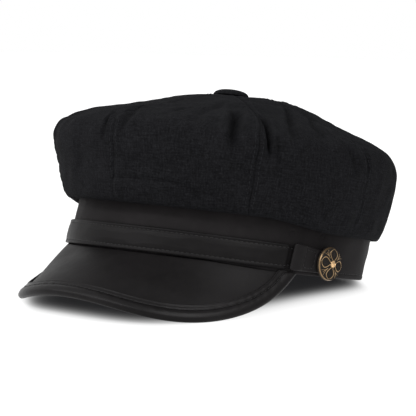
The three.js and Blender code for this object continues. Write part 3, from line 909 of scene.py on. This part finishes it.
def floor_paint(colour, glow):
    """Plain pale table with a faint mottle, and a painted glow all round the cap.

    The glow fades out in a painted shadow, the dark place under the cap. With e the sum of x to the
    4th, y to the 8th and x + y to the 32nd, each as a share of the place's half size that way, the
    glow's share is e cubed over the sum of e cubed and DARK_SOFTNESS. Far away e stops at DARK_REACH.
    """
    paint = new_paint("pale_floor")
    place = paint.place()
    mottle = paint.noise(place, 0.4, 2, 0.5)
    x, y, _ = paint.split(place)
    middle = DARK_LIMITS[1][0]
    behind = y.maths("MAXIMUM", y, middle) - middle
    across, along, slant = (
        ((distance - centre) / half) ** power
        for distance, (centre, half, power) in zip((x - DARK_LEAN * behind, y, x + y), DARK_LIMITS)
    )
    edge = x.maths("MINIMUM", across + along + slant, DARK_REACH) ** 3
    around = edge / (edge + DARK_SOFTNESS)
    return paint.surface(
        Base_Color=paint.mixed(mottle, shade(colour, 0.98), shade(colour)),
        Roughness=0.9,
        Specular_IOR_Level=0.1,
        # Painted glow round the cap, with a painted shadow under it
        Emission_Color=paint.mixed(around, DARK_GLOW, WHITE),
        Emission_Strength=glow,
    )


def length_setting(name, description, default):
    """A property in metres."""
    return FloatProperty(name=name, description=description, unit="LENGTH", default=default)


def share_setting(name, description, default):
    """A property that is a plain share or strength."""
    return FloatProperty(name=name, description=description, subtype="FACTOR", default=default)


def colour_setting(name, description, default):
    """A property with a linear colour."""
    return FloatVectorProperty(name=name, description=description, subtype="COLOR", default=default)


class CapClothSettings(bpy.types.PropertyGroup):
    """Cloth of the crown and the top button."""

    cloth_colour: colour_setting("Cloth", "Colour of the cotton twill", (0.0104, 0.0105, 0.0117))
    twill_pitch: length_setting("Twill pitch", "Distance between the ribs of the weave", 0.75 * MM)
    sheen: share_setting("Sheen", "Lint on the cloth's face", 0.01)
    fold_strength: share_setting("Folds", "Depth of the folds", 1.35)
    pucker_pitch: length_setting("Pucker pitch", "Distance between the puckers along a seam", 8.5 * MM)
    pucker_depth: length_setting("Pucker depth", "Height of the puckers", 0.22 * MM)
    cloth_waves: length_setting("Waves", "Height of the cloth's soft unevenness", 0.28 * MM)


class CapLeatherSettings(bpy.types.PropertyGroup):
    """Leather of the band, peak, binding, strap and tabs, and its thread."""

    leather_colour: colour_setting("Leather", "Colour of the leather", (0.0086, 0.0078, 0.0081))
    leather_roughness: share_setting("Roughness", "Roughness of the leather's finish", 0.45)
    leather_gloss: share_setting("Gloss", "Strength of the leather's reflections", 0.06)
    grain_size: length_setting("Grain", "Size of the leather's pebbles", 0.7 * MM)
    thread_colour: colour_setting("Thread", "Colour of the stitching", (0.020, 0.019, 0.0197))
    stitch_length: length_setting("Stitch", "Length of one stitch", 2.1 * MM)
    stitch_gap: length_setting("Stitch gap", "Space between two stitches", 0.8 * MM)
    thread_thickness: length_setting("Thread thickness", "Thickness of the thread", 0.42 * MM)


class CapMetalSettings(bpy.types.PropertyGroup):
    """Metal of the side buttons."""

    brass_colour: colour_setting("Brass", "Colour where the metal is rubbed bright", (0.28, 0.188, 0.1))
    patina_colour: colour_setting("Patina", "Colour of the dark recesses", (0.014, 0.011, 0.009))
    ring_count: IntProperty(name="Rings", description="Rings of the button's mesh", default=96, min=24)
    sector_count: IntProperty(
        name="Sectors", description="Sectors of the button's mesh", default=300, min=60
    )


class CapStageSettings(bpy.types.PropertyGroup):
    """Floor, lights and room."""

    floor_colour: colour_setting("Floor", "Colour of the floor", (0.2, 0.2, 0.2))
    floor_size: length_setting("Floor size", "Side of the square floor", 14.0)
    key_power: FloatProperty(
        name="Key", description="Power of the light in front", unit="POWER", default=14
    )
    satin_power: FloatProperty(
        name="Satin", description="Power of the lights that only gloss shows", unit="POWER", default=7
    )
    world_strength: share_setting("Room", "Brightness of the room", 0.95)
    # Painted light: the floor glows by itself all round the cap, and the glow fades out in a painted
    # shadow under it.
    painted_floor_glow: share_setting("Floor glow", "Light that comes up through the floor", 1.0)


class CAP_OT_crown(bpy.types.Operator):
    """Make the crown of sewn twill panels and its topstitching"""

    bl_idname = "cap.crown"
    bl_label = "Crown"
    row_margin: length_setting("Stitch margin", "From a seam to its stitches", 2.3 * MM)

    def execute(self, context):
        cloth = context.scene.cap_cloth
        angles, middles = panel_columns()
        outside = (np.arange(CROWN_ROWS + 1) / CROWN_ROWS) ** ROW_CROWDING
        inside = (np.arange(LINING_ROWS + 1)[::-1] / LINING_ROWS) ** ROW_CROWDING
        share = np.concatenate([inside, outside])[:, None]
        depth = np.where(np.arange(len(share)) <= LINING_ROWS, CROWN_WALL, 0.0)[:, None]
        points = crown_surface(angles[None, :], share, depth + 0 * angles[None, :], cloth)
        radius = smooth_crown(angles[None, :], share)[1]
        away, deep = seam_distance(angles[None, :] + 0 * share, radius)
        # Painted shade for the cloth: a dark line along each seam, and darkening in the folds' valleys,
        # along the hem crease and towards the hem's lower edge.
        line = deep * bell(away, SEAM_SHADE)
        true_angles = bent(angles[None, :], share)
        above, sharp = hem_crease(true_angles, share)
        fold = fold_depths(true_angles, share, radius)[0] / (3 * MM)
        fold = fold + 0.5 * sharp * bell(above, 0.9 * MM) + 0.7 * (1 - smoothstep(share, 0.01, 0.04))
        faces = grid_faces(len(share), len(angles), around=True)
        weave = self.weave_map(angles, middles, share, radius)
        values = {"seam": line, "fold": fold}
        piece = new_piece("crown_cloth", points, faces, twill_paint(cloth), weave, values)
        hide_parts("crown")
        rows = [self.seam_stitches(seam, side, cloth) for seam in SEAM_ANGLES for side in (-1, 1)]
        threads = joined(rows)
        thread = thread_paint("cloth_thread", shade(cloth.cloth_colour, 2.0), 0.8, 0.03)
        new_piece("crown_topstitching", *threads, thread)
        return {"FINISHED"}

    @staticmethod
    def weave_map(angles, middles, share, radius):
        """Metres across from each panel's middle and up from the hem, for every corner of its quads."""
        ends = np.append(angles[1:], angles[0] + 360)
        radius = radius[:, :1] + 0 * angles[None, :]
        left = np.radians(angles - middles)[None, :] * radius
        right = np.radians(ends - middles)[None, :] * radius
        up = share * CROWN_LENGTH + 0 * left
        below, above = slice(None, -1), slice(1, None)
        corners = ((left, below), (right, below), (right, above), (left, above))
        corners = [np.stack([side[row], up[row]], axis=-1) for side, row in corners]
        return np.stack(corners, axis=2).reshape(-1, 2)

    def seam_stitches(self, seam, side, cloth):
        """One row of topstitching at an even distance from a seam."""
        share = np.linspace(*SEWN_SHARES, 500)
        radius = smooth_crown(seam, share)[1]
        angle = seam + side * np.degrees(self.row_margin / radius)
        path = crown_surface(angle, share, 0.0, cloth)
        return stitches(path, crown_normal(bent(angle, share), share), *CLOTH_STITCH)


class CAP_OT_top_button(bpy.types.Operator):
    """Make the cloth-covered button at the pole of the crown"""

    bl_idname = "cap.top_button"
    bl_label = "Top button"

    def execute(self, context):
        # The radius is TOP_RADIUS times a power of a cosine. The height is a sine that reaches
        # TOP_EDGE at the rim and TOP_DOME at the top. Sines round the rim gather the cloth there.
        cloth = context.scene.cap_cloth
        angle = np.linspace(0, 2 * np.pi, TOP_SIDES, endpoint=False)[None, :]
        under = np.linspace(0, 1, 14)[:, None]
        turn = np.linspace(-0.5, 0.5, 44)[1:, None] * np.pi
        edge = TOP_RADIUS * np.cos(turn).clip(0) ** TOP_FULLNESS
        bottom = TOP_RADIUS * np.cos(-0.499 * np.pi) ** TOP_FULLNESS
        rise = TOP_EDGE + np.where(turn < 0, TOP_EDGE, TOP_DOME - TOP_EDGE) * np.sin(turn)
        radius = np.concatenate([under * bottom, np.where(turn < 0, np.maximum(edge, bottom), edge)])
        height = np.concatenate([0 * under, rise])
        folds = np.sin(14 * angle + 1.5 * np.sin(3 * angle))
        gather = 0.16 * MM * folds * bell(radius - TOP_RADIUS, 3.5 * MM)
        radius = radius + gather * smoothstep(radius, 0.5 * TOP_RADIUS, TOP_RADIUS)
        pole = CROWN_PROFILE[-1]
        x = radius * np.cos(angle)
        y = radius * np.sin(angle) + pole[2]
        z = height + pole[1] + GAP + 0.35 * gather
        points = np.stack(np.broadcast_arrays(x, y, z), axis=-1)
        faces = grid_faces(len(radius), TOP_SIDES, around=True)
        flat = points[..., :2].reshape(-1, 2)
        values = {"seam": 0 * x, "fold": 0 * x}
        piece = new_piece("top_button_cloth", points, faces, twill_paint(cloth), flat[faces], values)
        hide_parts("top_button")
        return {"FINISHED"}


class CAP_OT_head_band(bpy.types.Operator):
    """Make the leather band with its turned lower edge"""

    bl_idname = "cap.head_band"
    bl_label = "Head band"

    def execute(self, context):
        leather = context.scene.cap_leather
        # Columns stand closer together round the dents
        near = [np.linspace(dent - DENT_SPAN, dent + DENT_SPAN, DENT_COLUMNS) for dent in BAND_DENTS]
        even = np.linspace(0, 360, BAND_COLUMNS, endpoint=False)
        angle = np.unique(np.concatenate([even, *near]) % 360)[None, :]
        turn, share = strip_section(*BAND_ROWS)
        points = self.band_surface(angle, turn, share)
        faces = grid_faces(len(turn), angle.size, around=True, across=True)
        # Painted light: the band's copy of the leather is made lighter, so that it looks more brightly
        # lit.
        paint = leather_paint("band_leather", leather, 1.6, 0.16)
        piece = new_piece("band_leather", points, faces, paint)
        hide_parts("head_band")
        walk = np.linspace(*BAND_SEWN, WALK_STEPS)
        place = BAND_SEAM / (hem_height(walk) + BAND_TUCK + BAND_BELOW - BAND_WALL)
        path = self.band_surface(walk, 0.0, place)
        thread = thread_paint("band_thread", leather.thread_colour)
        row = stitches(path, outward(walk), leather.stitch_length, leather.stitch_gap, BAND_THREAD)
        new_piece("band_stitching", *row, thread)
        return {"FINISHED"}

    @staticmethod
    def band_surface(angle, turn, share):
        """The band: a strip with round edges on the head's ellipse.

        Its outer face swells a little between its edges, dips along the stitched line, and has two
        small ring-shaped dents above the tab on each side.
        """
        half = BAND_WALL / 2
        low = -BAND_BELOW + half
        high = hem_height(angle) + BAND_TUCK - half
        height = lerp(low, high, share) + half * np.sin(turn)
        out = np.maximum(np.cos(turn), 0)
        place = ring_point(angle, height, half)
        swell = 0.25 * MM * waves(place, 40 * MM, 9, 21) + 0.12 * MM * waves(place, 15 * MM, 9, 22)
        swell = swell + bells(height - low - BAND_SEAM, BAND_FORM)
        for dent in BAND_DENTS:
            across = np.radians(apart(angle, dent)) * HALF_WIDTH
            away = np.hypot(across, height - DENT_HEIGHT)
            swell = swell + bells(away - DENT_RADIUS, DENT_FORM)
        offset = half + half * np.cos(turn) + out * np.minimum(swell, GAP / 2)
        return ring_point(angle, height, offset)


class CAP_OT_peak(bpy.types.Operator):
    """Make the leather peak, the binding folded over its edge, and the binding's stitching"""

    bl_idname = "cap.peak"
    bl_label = "Peak and binding"

    def execute(self, context):
        leather = context.scene.cap_leather
        turns = peak_turns(PEAK_STATIONS)[None, :]
        self.make_plate(turns, leather)
        self.make_binding(turns, leather)
        thread = thread_paint("peak_thread", shade(leather.thread_colour, 0.6))
        walk = peak_turns(WALK_STEPS)[8:-8]  # Stops short of the horns
        inset = 1 - BINDING_SEAM / peak_reach(walk)
        half = PEAK_LEATHER / 2 + GAP + BINDING_WALL
        rows = []
        for side in (1, -1):
            path = peak_point(walk, inset, np.full(walk.shape, side * (half - 0.05 * MM)))
            out = path - peak_point(walk, inset, np.zeros(walk.shape))
            rows.append(stitches(path, out, *leather_stitch(leather)))
        new_piece("peak_stitching", *joined(rows), thread)
        return {"FINISHED"}

    @staticmethod
    def make_plate(turns, leather):
        """The plate: both faces of the leather, from the fold of the binding to the band and back."""
        edge = 1 - (BINDING_WALL + 2 * GAP) / peak_reach(turns)
        rows = np.linspace(1, 0, 34)[:, None]
        share = np.concatenate([rows, rows[::-1]]) * edge
        lift = np.repeat([PEAK_LEATHER / 2, -PEAK_LEATHER / 2], len(rows))[:, None] + 0 * share
        points = peak_point(turns + 0 * share, share, lift)
        clear = smoothstep(share, 0.0, 0.15) * (1 - smoothstep(share, 0.55, 0.8))
        points[..., 2] += 0.3 * MM * clear * waves(points, 38 * MM, 8, 31)
        # Painted shade: the peak's copy of the leather is made a little darker, so that it looks less
        # brightly lit.
        paint = leather_paint("peak_leather", leather, 0.95)
        piece = new_piece("peak_leather", points, strip_faces(*share.shape), paint)
        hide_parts("peak")

    @staticmethod
    def make_binding(turns, leather):
        """The binding: a U of leather, round at the fold, sunk along its stitches.

        A low roll runs outside the stitches, and its inner edge is a small bead.
        """
        half = PEAK_LEATHER / 2 + GAP + BINDING_WALL
        slot = PEAK_LEATHER / 2 + GAP
        reach = peak_reach(turns)
        leg = np.minimum(BINDING_LEG, reach - 2 * GAP)
        full = np.minimum(half, 0.8 * leg)
        bend = np.minimum(BINDING_WALL + GAP, leg / 2)
        leg_rows = np.linspace(0, 1, BINDING_ROWS)[:, None]
        fold = np.linspace(-np.pi / 2, np.pi / 2, FOLD_ROWS)[1:-1, None]
        inner_fold = np.linspace(1, -1, FOLD_ROWS)[1:-1, None]
        inward = lerp(full, leg, leg_rows)
        pucker = 0.10 * MM * np.sin(turns * 150 + 2 * np.sin(turns * 23)) * np.sin(np.pi * leg_rows)
        edge = 0.4 * MM * smoothstep(inward, leg - 0.4 * MM, leg)
        top = half + bells(inward, BINDING_FORM) + bells(leg - inward, BINDING_BEAD) + pucker - edge
        inset = np.concatenate([
            inward[::-1],
            full * (1 - np.cos(fold)),
            inward,
            lerp(leg, bend, leg_rows) + 0 * turns,
            bend + 0 * inner_fold * turns,
            lerp(bend, leg, leg_rows) + 0 * turns,
        ])
        lift = np.concatenate([
            -top[::-1],
            half * np.sin(fold) + 0 * turns,
            top,
            slot + 0 * leg_rows * turns,
            slot * inner_fold + 0 * turns,
            -slot + 0 * leg_rows * turns,
        ])
        points = peak_point(turns + 0 * inset, 1 - inset / reach, lift)
        paint = leather_paint("binding_leather", leather, 1.0, -0.08)
        piece = new_piece("binding_leather", points, strip_faces(*inset.shape), paint)
        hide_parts("peak_binding")


class CAP_OT_front_strap(bpy.types.Operator):
    """Make the stitched strap across the front of the band"""

    bl_idname = "cap.front_strap"
    bl_label = "Front strap"

    def execute(self, context):
        leather = context.scene.cap_leather
        angle = np.linspace(-180 - STRAP_END, STRAP_END, STRAP_COLUMNS)[None, :]
        turn, share = strip_section(*STRAP_ROWS)
        points = self.strap_surface(angle, turn, share)
        faces = strip_faces(len(turn), angle.size)
        # Painted shade: the strap's copy of the leather is made darker, so that it looks less brightly
        # lit.
        piece = new_piece("strap_leather", points, faces, leather_paint("strap_leather", leather, 0.85))
        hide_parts("front_strap")
        walk = np.linspace(-180 - STRAP_END, STRAP_END, WALK_STEPS)
        margin = STRAP_SEAM / (STRAP_WIDTH - STRAP_WALL)
        paths = [self.strap_surface(walk, 0.0, place) for place in (margin, 1 - margin)]
        rows = [stitches(path, outward(walk), *leather_stitch(leather)) for path in paths]
        thread = thread_paint("strap_thread", leather.thread_colour)
        new_piece("strap_stitching", *joined(rows), thread)
        return {"FINISHED"}

    @staticmethod
    def strap_surface(angle, turn, share):
        """The strap: a strip with round edges on the band, padded between two stitched grooves.

        It narrows to a thinner neck where it goes under each tab.
        """
        half = STRAP_WALL / 2
        from_front = apart(angle, -90) / (90 + STRAP_END)
        middle = lerp(STRAP_FRONT, STRAP_BACK, smoothstep(from_front, 0.2, 1))
        neck = smoothstep(angle, *STRAP_NECK) + smoothstep(-180 - angle, *STRAP_NECK)
        half = half * (1 - 0.5 * neck)
        width = (STRAP_WIDTH - STRAP_WALL) * (1 - 0.06 * neck)
        height = middle + (share - 0.5) * width + half * np.sin(turn)
        from_edge = (0.5 - np.abs(share - 0.5)) * (STRAP_WIDTH - STRAP_WALL)
        place = ring_point(angle, height, ON_BAND)
        pad = 0.3 * MM * smoothstep(from_edge, 1.2 * MM, 5 * MM) + bells(from_edge, STRAP_FORM)
        pad = pad + 0.08 * MM * waves(place, 20 * MM, 9, 41)
        out = half + half * np.cos(turn) + np.maximum(np.cos(turn), 0) * np.minimum(pad, GAP)
        return ring_point(angle, height, ON_BAND + out)


class CAP_OT_strap_tabs(bpy.types.Operator):
    """Make the leather tabs that hold the ends of the strap"""

    bl_idname = "cap.strap_tabs"
    bl_label = "Strap tabs"

    def execute(self, context):
        leather = context.scene.cap_leather
        table, _ = smooth_path(TAB_SECTIONS, 90)
        turn, share = strip_section(*TAB_ROWS)
        points = self.tab_surface(table, turn, share)
        faces = strip_faces(len(turn), len(table))
        # Painted light: the tabs' copy of the leather is made lighter, so that they look more brightly
        # lit than the band.
        paint = leather_paint("tab_leather", leather, 1.3)
        threads, thread_faces = self.tab_stitches(table)
        thread = thread_paint("tab_thread", leather.thread_colour)
        for name, side in (("left", 1), ("right", -1)):
            mirror = np.array([side, 1, 1])
            piece = new_piece(f"tab_{name}_leather", points[:, ::side] * mirror, faces, paint)
            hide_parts(f"strap_tab_{name}")
            sewn_faces = thread_faces[:, ::side]
            sewn = new_piece(f"tab_{name}_stitching", threads * mirror, sewn_faces, thread)
        return {"FINISHED"}

    @staticmethod
    def tab_surface(table, turn, share):
        """A tab: a strip with round edges through its sections, sunk along its stitched rectangle."""
        angle, low, high, under, wall = table.T
        low, high, under, wall = (column * MM for column in (low, high, under, wall))
        half = wall / 2
        height = lerp(low + half, high - half, share) + half * np.sin(turn)
        from_edge = np.minimum(height - low, high - height)
        near, far = TAB_SEWN
        ahead = np.minimum(np.abs(angle - near), np.abs(angle - far))
        line = np.minimum(np.abs(from_edge - TAB_SEAM), np.radians(ahead) * HALF_WIDTH)
        sunk = 0.25 * MM * bell(line, 0.5 * MM) * within(angle, near - 0.5, far + 0.5, 0.4)
        out = np.sign(np.cos(turn)) * np.abs(np.cos(turn)) ** 0.7
        offset = under + half + half * out - np.maximum(out, 0) * sunk
        return ring_point(-angle, height, offset)

    def tab_stitches(self, table):
        """Thread round the three sides of the part that is sewn to the band."""
        order = table[::-1]
        (near, far), (below, above) = TAB_SEWN, TAB_SHARES
        corners = ((far, below), (near, below), (near, above), (far, above), (far, below))
        rows = []
        for (start, low), (end, high) in zip(corners[:-1], corners[1:]):
            walk = np.linspace(start, end, 60)
            here = np.stack([np.interp(walk, order[:, 0], column) for column in order.T], axis=-1)
            path = self.tab_surface(here, 0.0, np.linspace(low, high, 60))
            rows.append(stitches(path, outward(-walk), *TAB_STITCH))
        return joined(rows)


class CAP_OT_side_buttons(bpy.types.Operator):
    """Make the two cast rosette buttons"""

    bl_idname = "cap.side_buttons"
    bl_label = "Side buttons"

    def execute(self, context):
        metal = context.scene.cap_metal
        radius, height, angle, relief = self.rosette(metal.ring_count, metal.sector_count)
        faces = grid_faces(*radius.shape, around=True)
        parts = (radius * np.cos(angle), radius * np.sin(angle), height)
        x, y, height = (part[..., None] for part in parts)
        paint = brass_paint(metal)
        up = np.array([0, 0, 1.0])
        for name, around in (("left", BUTTON_ANGLE), ("right", -180 - BUTTON_ANGLE)):
            out = outward(np.array(float(around)))
            centre = ring_point(float(around), BUTTON_HEIGHT, ON_BAND + TAB_WALL + GAP)
            points = centre + x * np.cross(up, out) + y * up + height * out
            piece = new_piece(f"button_{name}_brass", points, faces, paint, values={"relief": relief})
            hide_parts(f"side_button_{name}")
        return {"FINISHED"}

    @staticmethod
    def ridge(distance, width):
        """A raised line: 1 along its middle, 0 outside its half width, with round shoulders."""
        return np.sqrt(np.clip(1 - (distance / width) ** 2, 0, 1))

    def rosette(self, rings, sectors):
        """The button: a flat back, a rolled rim, a domed face, and its ornament as raised lines.

        Four petals are outlined by a line where the distance across equals a sine of the distance
        out. Each holds a veined leaf. Three darts fan out between two petals, round a small boss.
        """
        angle = np.linspace(0, 2 * np.pi, sectors, endpoint=False)[None, :]
        face = BUTTON_RADIUS * np.linspace(0, 1, rings)[::-1, None]
        across, out = face * np.sin(angle), face * np.cos(angle)
        shape = across.shape
        lines = np.zeros(shape)
        fill = np.zeros(shape)
        for k in range(PETALS):
            axis = BUTTON_SPIN + 360 / PETALS * k
            petal, leaf = self.petal(*self.beside_axis(out, across, axis))
            darts = self.darts(*self.beside_axis(out, across, axis + 180 / PETALS))
            lines = np.maximum.reduce([lines, petal, darts])
            fill = np.maximum(fill, leaf)
        r = face / MM + 0 * angle
        rim = self.ridge(r - BUTTON_RIM, 0.38)
        boss = self.ridge(r, BOSS_RADIUS)
        dome = lerp(*DOME_HEIGHTS, (face / BUTTON_RADIUS) ** 2)
        height = (dome + 0.16 * fill + 0.5 * lines + 1.1 * boss) * (1 - 0.55 * smoothstep(r, 9.2, 10))
        height = height + 0.45 * rim
        relief = np.maximum.reduce([0.86 * lines, 0.8 * rim, 1.3 * boss, 0.12 * fill]).clip(0, 1)
        back = np.linspace(0, 1, 5)[:, None]
        turn = np.linspace(0, 1, 6)[:, None]
        wall = BUTTON_RADIUS * lerp(0.95, 1.0, turn**0.5)
        radius = np.concatenate([BUTTON_RADIUS * back * 0.95, wall, face])
        lower = turn * (height[:1] - 0.6) + 0 * angle
        heights = np.concatenate([0 * back * angle, lower, height]) * MM
        values = np.concatenate([0.15 + 0 * back * angle, 0.42 + 0.22 * turn + 0 * angle, relief])
        return radius + 0 * angle, heights, angle + 0 * radius, values

    @staticmethod
    def beside_axis(out, across, degrees):
        """Millimetres along and beside an axis that is turned by some degrees."""
        spin = math.radians(degrees)
        along = out * math.cos(spin) + across * math.sin(spin)
        return along / MM, np.abs(across * math.cos(spin) - out * math.sin(spin)) / MM

    @staticmethod
    def drop(along, ends, half, lean, fullness):
        """Half width of a drop shape: a sine over its length, its belly pushed out by the lean."""
        share = np.clip((along - ends[0]) / (ends[1] - ends[0]), 0, 1)
        return half * np.sin(np.pi * share**lean) ** fullness

    @staticmethod
    def between(along, ends):
        """True from one end to the other."""
        return (along > ends[0]) & (along < ends[1])

    def petal(self, along, side):
        """A petal's raised lines and its filled leaf, in millimetres along and beside its axis."""
        rim = self.ridge(side - self.drop(along, PETAL_ENDS, 3.1, 1.4, 0.75), 0.5)
        rim = rim * self.between(along, PETAL_ENDS)
        tip = self.ridge(np.hypot(along - PETAL_ENDS[1] + 0.1, side), 0.45)
        leaf_half = self.drop(along, LEAF_ENDS, 1.8, 1.3, 0.8)
        leaf = (side < leaf_half) & self.between(along, LEAF_ENDS)
        outline = 0.62 * self.ridge(side - leaf_half, 0.16)
        vein = 0.62 * self.ridge(side, 0.14)
        veins = 0.45 * self.ridge((along - 0.9 * side - LEAF_ENDS[0]) % 0.9 - 0.45, 0.2)
        drawn = leaf * np.maximum.reduce([outline, vein, veins])
        return np.maximum.reduce([rim, tip, drawn]), leaf * 1.0

    def darts(self, along, side):
        """Three strokes that fan out from a bead to the rim, the outer two bent away as barbs."""
        middle = self.ridge(side, 0.26) * self.between(along, DART_ENDS)
        head = self.ridge(np.hypot(along - DART_ENDS[0], side), 0.45)
        bend = side - 0.17 * np.maximum(along - 5.0, 0) ** 1.7
        barbs = self.ridge(bend, 0.28) * self.between(along, BARB_ENDS)
        return np.maximum.reduce([middle, head, barbs])


class CAP_OT_stage(bpy.types.Operator):
    """Make the floor, the lights and the camera"""

    bl_idname = "cap.stage"
    bl_label = "Floor, lights and camera"

    def execute(self, context):
        stage = context.scene.cap_stage
        half = stage.floor_size / 2
        corners = [(-half, -half, 0), (half, -half, 0), (half, half, 0), (-half, half, 0)]
        mesh = bpy.data.meshes.new("floor")
        mesh.from_pydata(corners, [], [(0, 1, 2, 3)])
        mesh.materials.append(floor_paint(stage.floor_colour, stage.painted_floor_glow))
        floor = bpy.data.objects.new("floor", mesh)
        context.scene.collection.objects.link(floor)
        for name, place, size, setting, share, plain in LIGHTS:
            lamp = self.add_light(name, place, size, share * getattr(stage, setting))
            lamp.visible_diffuse = plain
        self.add_surround(context.scene, stage.world_strength)
        self.add_camera(context.scene)
        context.scene.view_settings.view_transform = "Standard"
        return {"FINISHED"}

    @staticmethod
    def add_light(name, place, size, power):
        """A rectangular soft light at a place, facing LIT_POINT."""
        light = bpy.data.lights.new(name, "AREA")
        light.shape = "RECTANGLE"
        light.size, light.size_y = size
        light.energy = power
        lamp = bpy.data.objects.new(name, light)
        lamp.location = place
        aim = Vector(LIT_POINT) - Vector(place)
        lamp.rotation_euler = aim.to_track_quat("-Z", "Y").to_euler()
        bpy.context.scene.collection.objects.link(lamp)
        return lamp

    @staticmethod
    def add_surround(scene, strength):
        """A white room, dimmer behind the cap, and pure white where the camera sees it.

        Its strength falls as a ray turns towards one level direction, close to the cap's back.
        """
        paint = Paint(bpy.data.worlds.new("studio"))
        place = paint.node("ShaderNodeTexCoord", output="Generated")
        turn = math.radians(CAMERA_AZIMUTH + 45)
        inputs = {0: place, 1: (math.cos(turn), math.sin(turn), 0)}
        aside = paint.node("ShaderNodeVectorMath", {"operation": "DOT_PRODUCT"}, inputs, "Value")
        limits = {"From Min": 0.1, "From Max": 1.0, "To Min": strength, "To Max": 0.25 * strength}
        settings = {"interpolation_type": "SMOOTHSTEP"}
        fall = paint.node("ShaderNodeMapRange", settings, {"Value": aside, **limits}, "Result")
        room = paint.node("ShaderNodeBackground", None, {"Color": WHITE, "Strength": fall})
        backdrop = paint.node("ShaderNodeBackground", None, {"Color": WHITE})
        seen = paint.node("ShaderNodeLightPath", output="Is Camera Ray")
        mix = paint.node("ShaderNodeMixShader", None, {0: seen, 1: room, 2: backdrop})
        paint.node("ShaderNodeOutputWorld", None, {"Surface": mix})
        scene.world = paint.owner

    @staticmethod
    def add_camera(scene):
        """A long lens at the photograph's angle, from CAMERA_TARGET back along its view."""
        angles = (CAMERA_AZIMUTH, CAMERA_ELEVATION, CAMERA_ROLL)
        azimuth, elevation, roll = (math.radians(angle) for angle in angles)
        data = bpy.data.cameras.new("camera")
        data.lens = CAMERA_LENS
        data.sensor_width = CAMERA_SENSOR
        camera = bpy.data.objects.new("camera", data)
        turned = Euler((math.pi / 2 - elevation, 0, azimuth), "XYZ").to_matrix()
        turned = turned @ Euler((0, 0, roll), "XYZ").to_matrix()
        camera.rotation_euler = turned.to_euler()
        camera.location = Vector(CAMERA_TARGET) + turned @ Vector((0, 0, CAMERA_DISTANCE))
        scene.collection.objects.link(camera)
        scene.camera = camera


class CAP_PT_pieces(bpy.types.Panel):
    """Sizes and colours of the cap, and a button for each of its pieces"""

    bl_idname = "CAP_PT_pieces"
    bl_label = "Biker Cap"
    bl_space_type = "VIEW_3D"
    bl_region_type = "UI"
    bl_category = "Biker Cap"

    def draw(self, context):
        for group_name in SETTINGS:
            box = self.layout.box()
            group = getattr(context.scene, group_name)
            for name in group.bl_rna.properties.keys():
                if name not in ("rna_type", "name"):
                    box.prop(group, name)
        for operator in PIECES:
            self.layout.operator(operator.bl_idname)


SETTINGS = {
    "cap_cloth": CapClothSettings,
    "cap_leather": CapLeatherSettings,
    "cap_metal": CapMetalSettings,
    "cap_stage": CapStageSettings,
}
PIECES = (
    CAP_OT_stage,
    CAP_OT_crown,
    CAP_OT_top_button,
    CAP_OT_head_band,
    CAP_OT_peak,
    CAP_OT_front_strap,
    CAP_OT_strap_tabs,
    CAP_OT_side_buttons,
)


def register():
    for name, group in SETTINGS.items():
        bpy.utils.register_class(group)
        setattr(bpy.types.Scene, name, PointerProperty(type=group))
    for operator in PIECES:
        bpy.utils.register_class(operator)
    bpy.utils.register_class(CAP_PT_pieces)


def unregister():
    bpy.utils.unregister_class(CAP_PT_pieces)
    for operator in reversed(PIECES):
        bpy.utils.unregister_class(operator)
    for name, group in SETTINGS.items():
        delattr(bpy.types.Scene, name)
        bpy.utils.unregister_class(group)


def main():
    """Makes every piece."""
    register()
    bpy.ops.cap.stage()
    bpy.ops.cap.crown()
    bpy.ops.cap.top_button()
    bpy.ops.cap.head_band()
    bpy.ops.cap.peak()
    bpy.ops.cap.front_strap()
    bpy.ops.cap.strap_tabs()
    bpy.ops.cap.side_buttons()


if __name__ == "__main__":
    main()
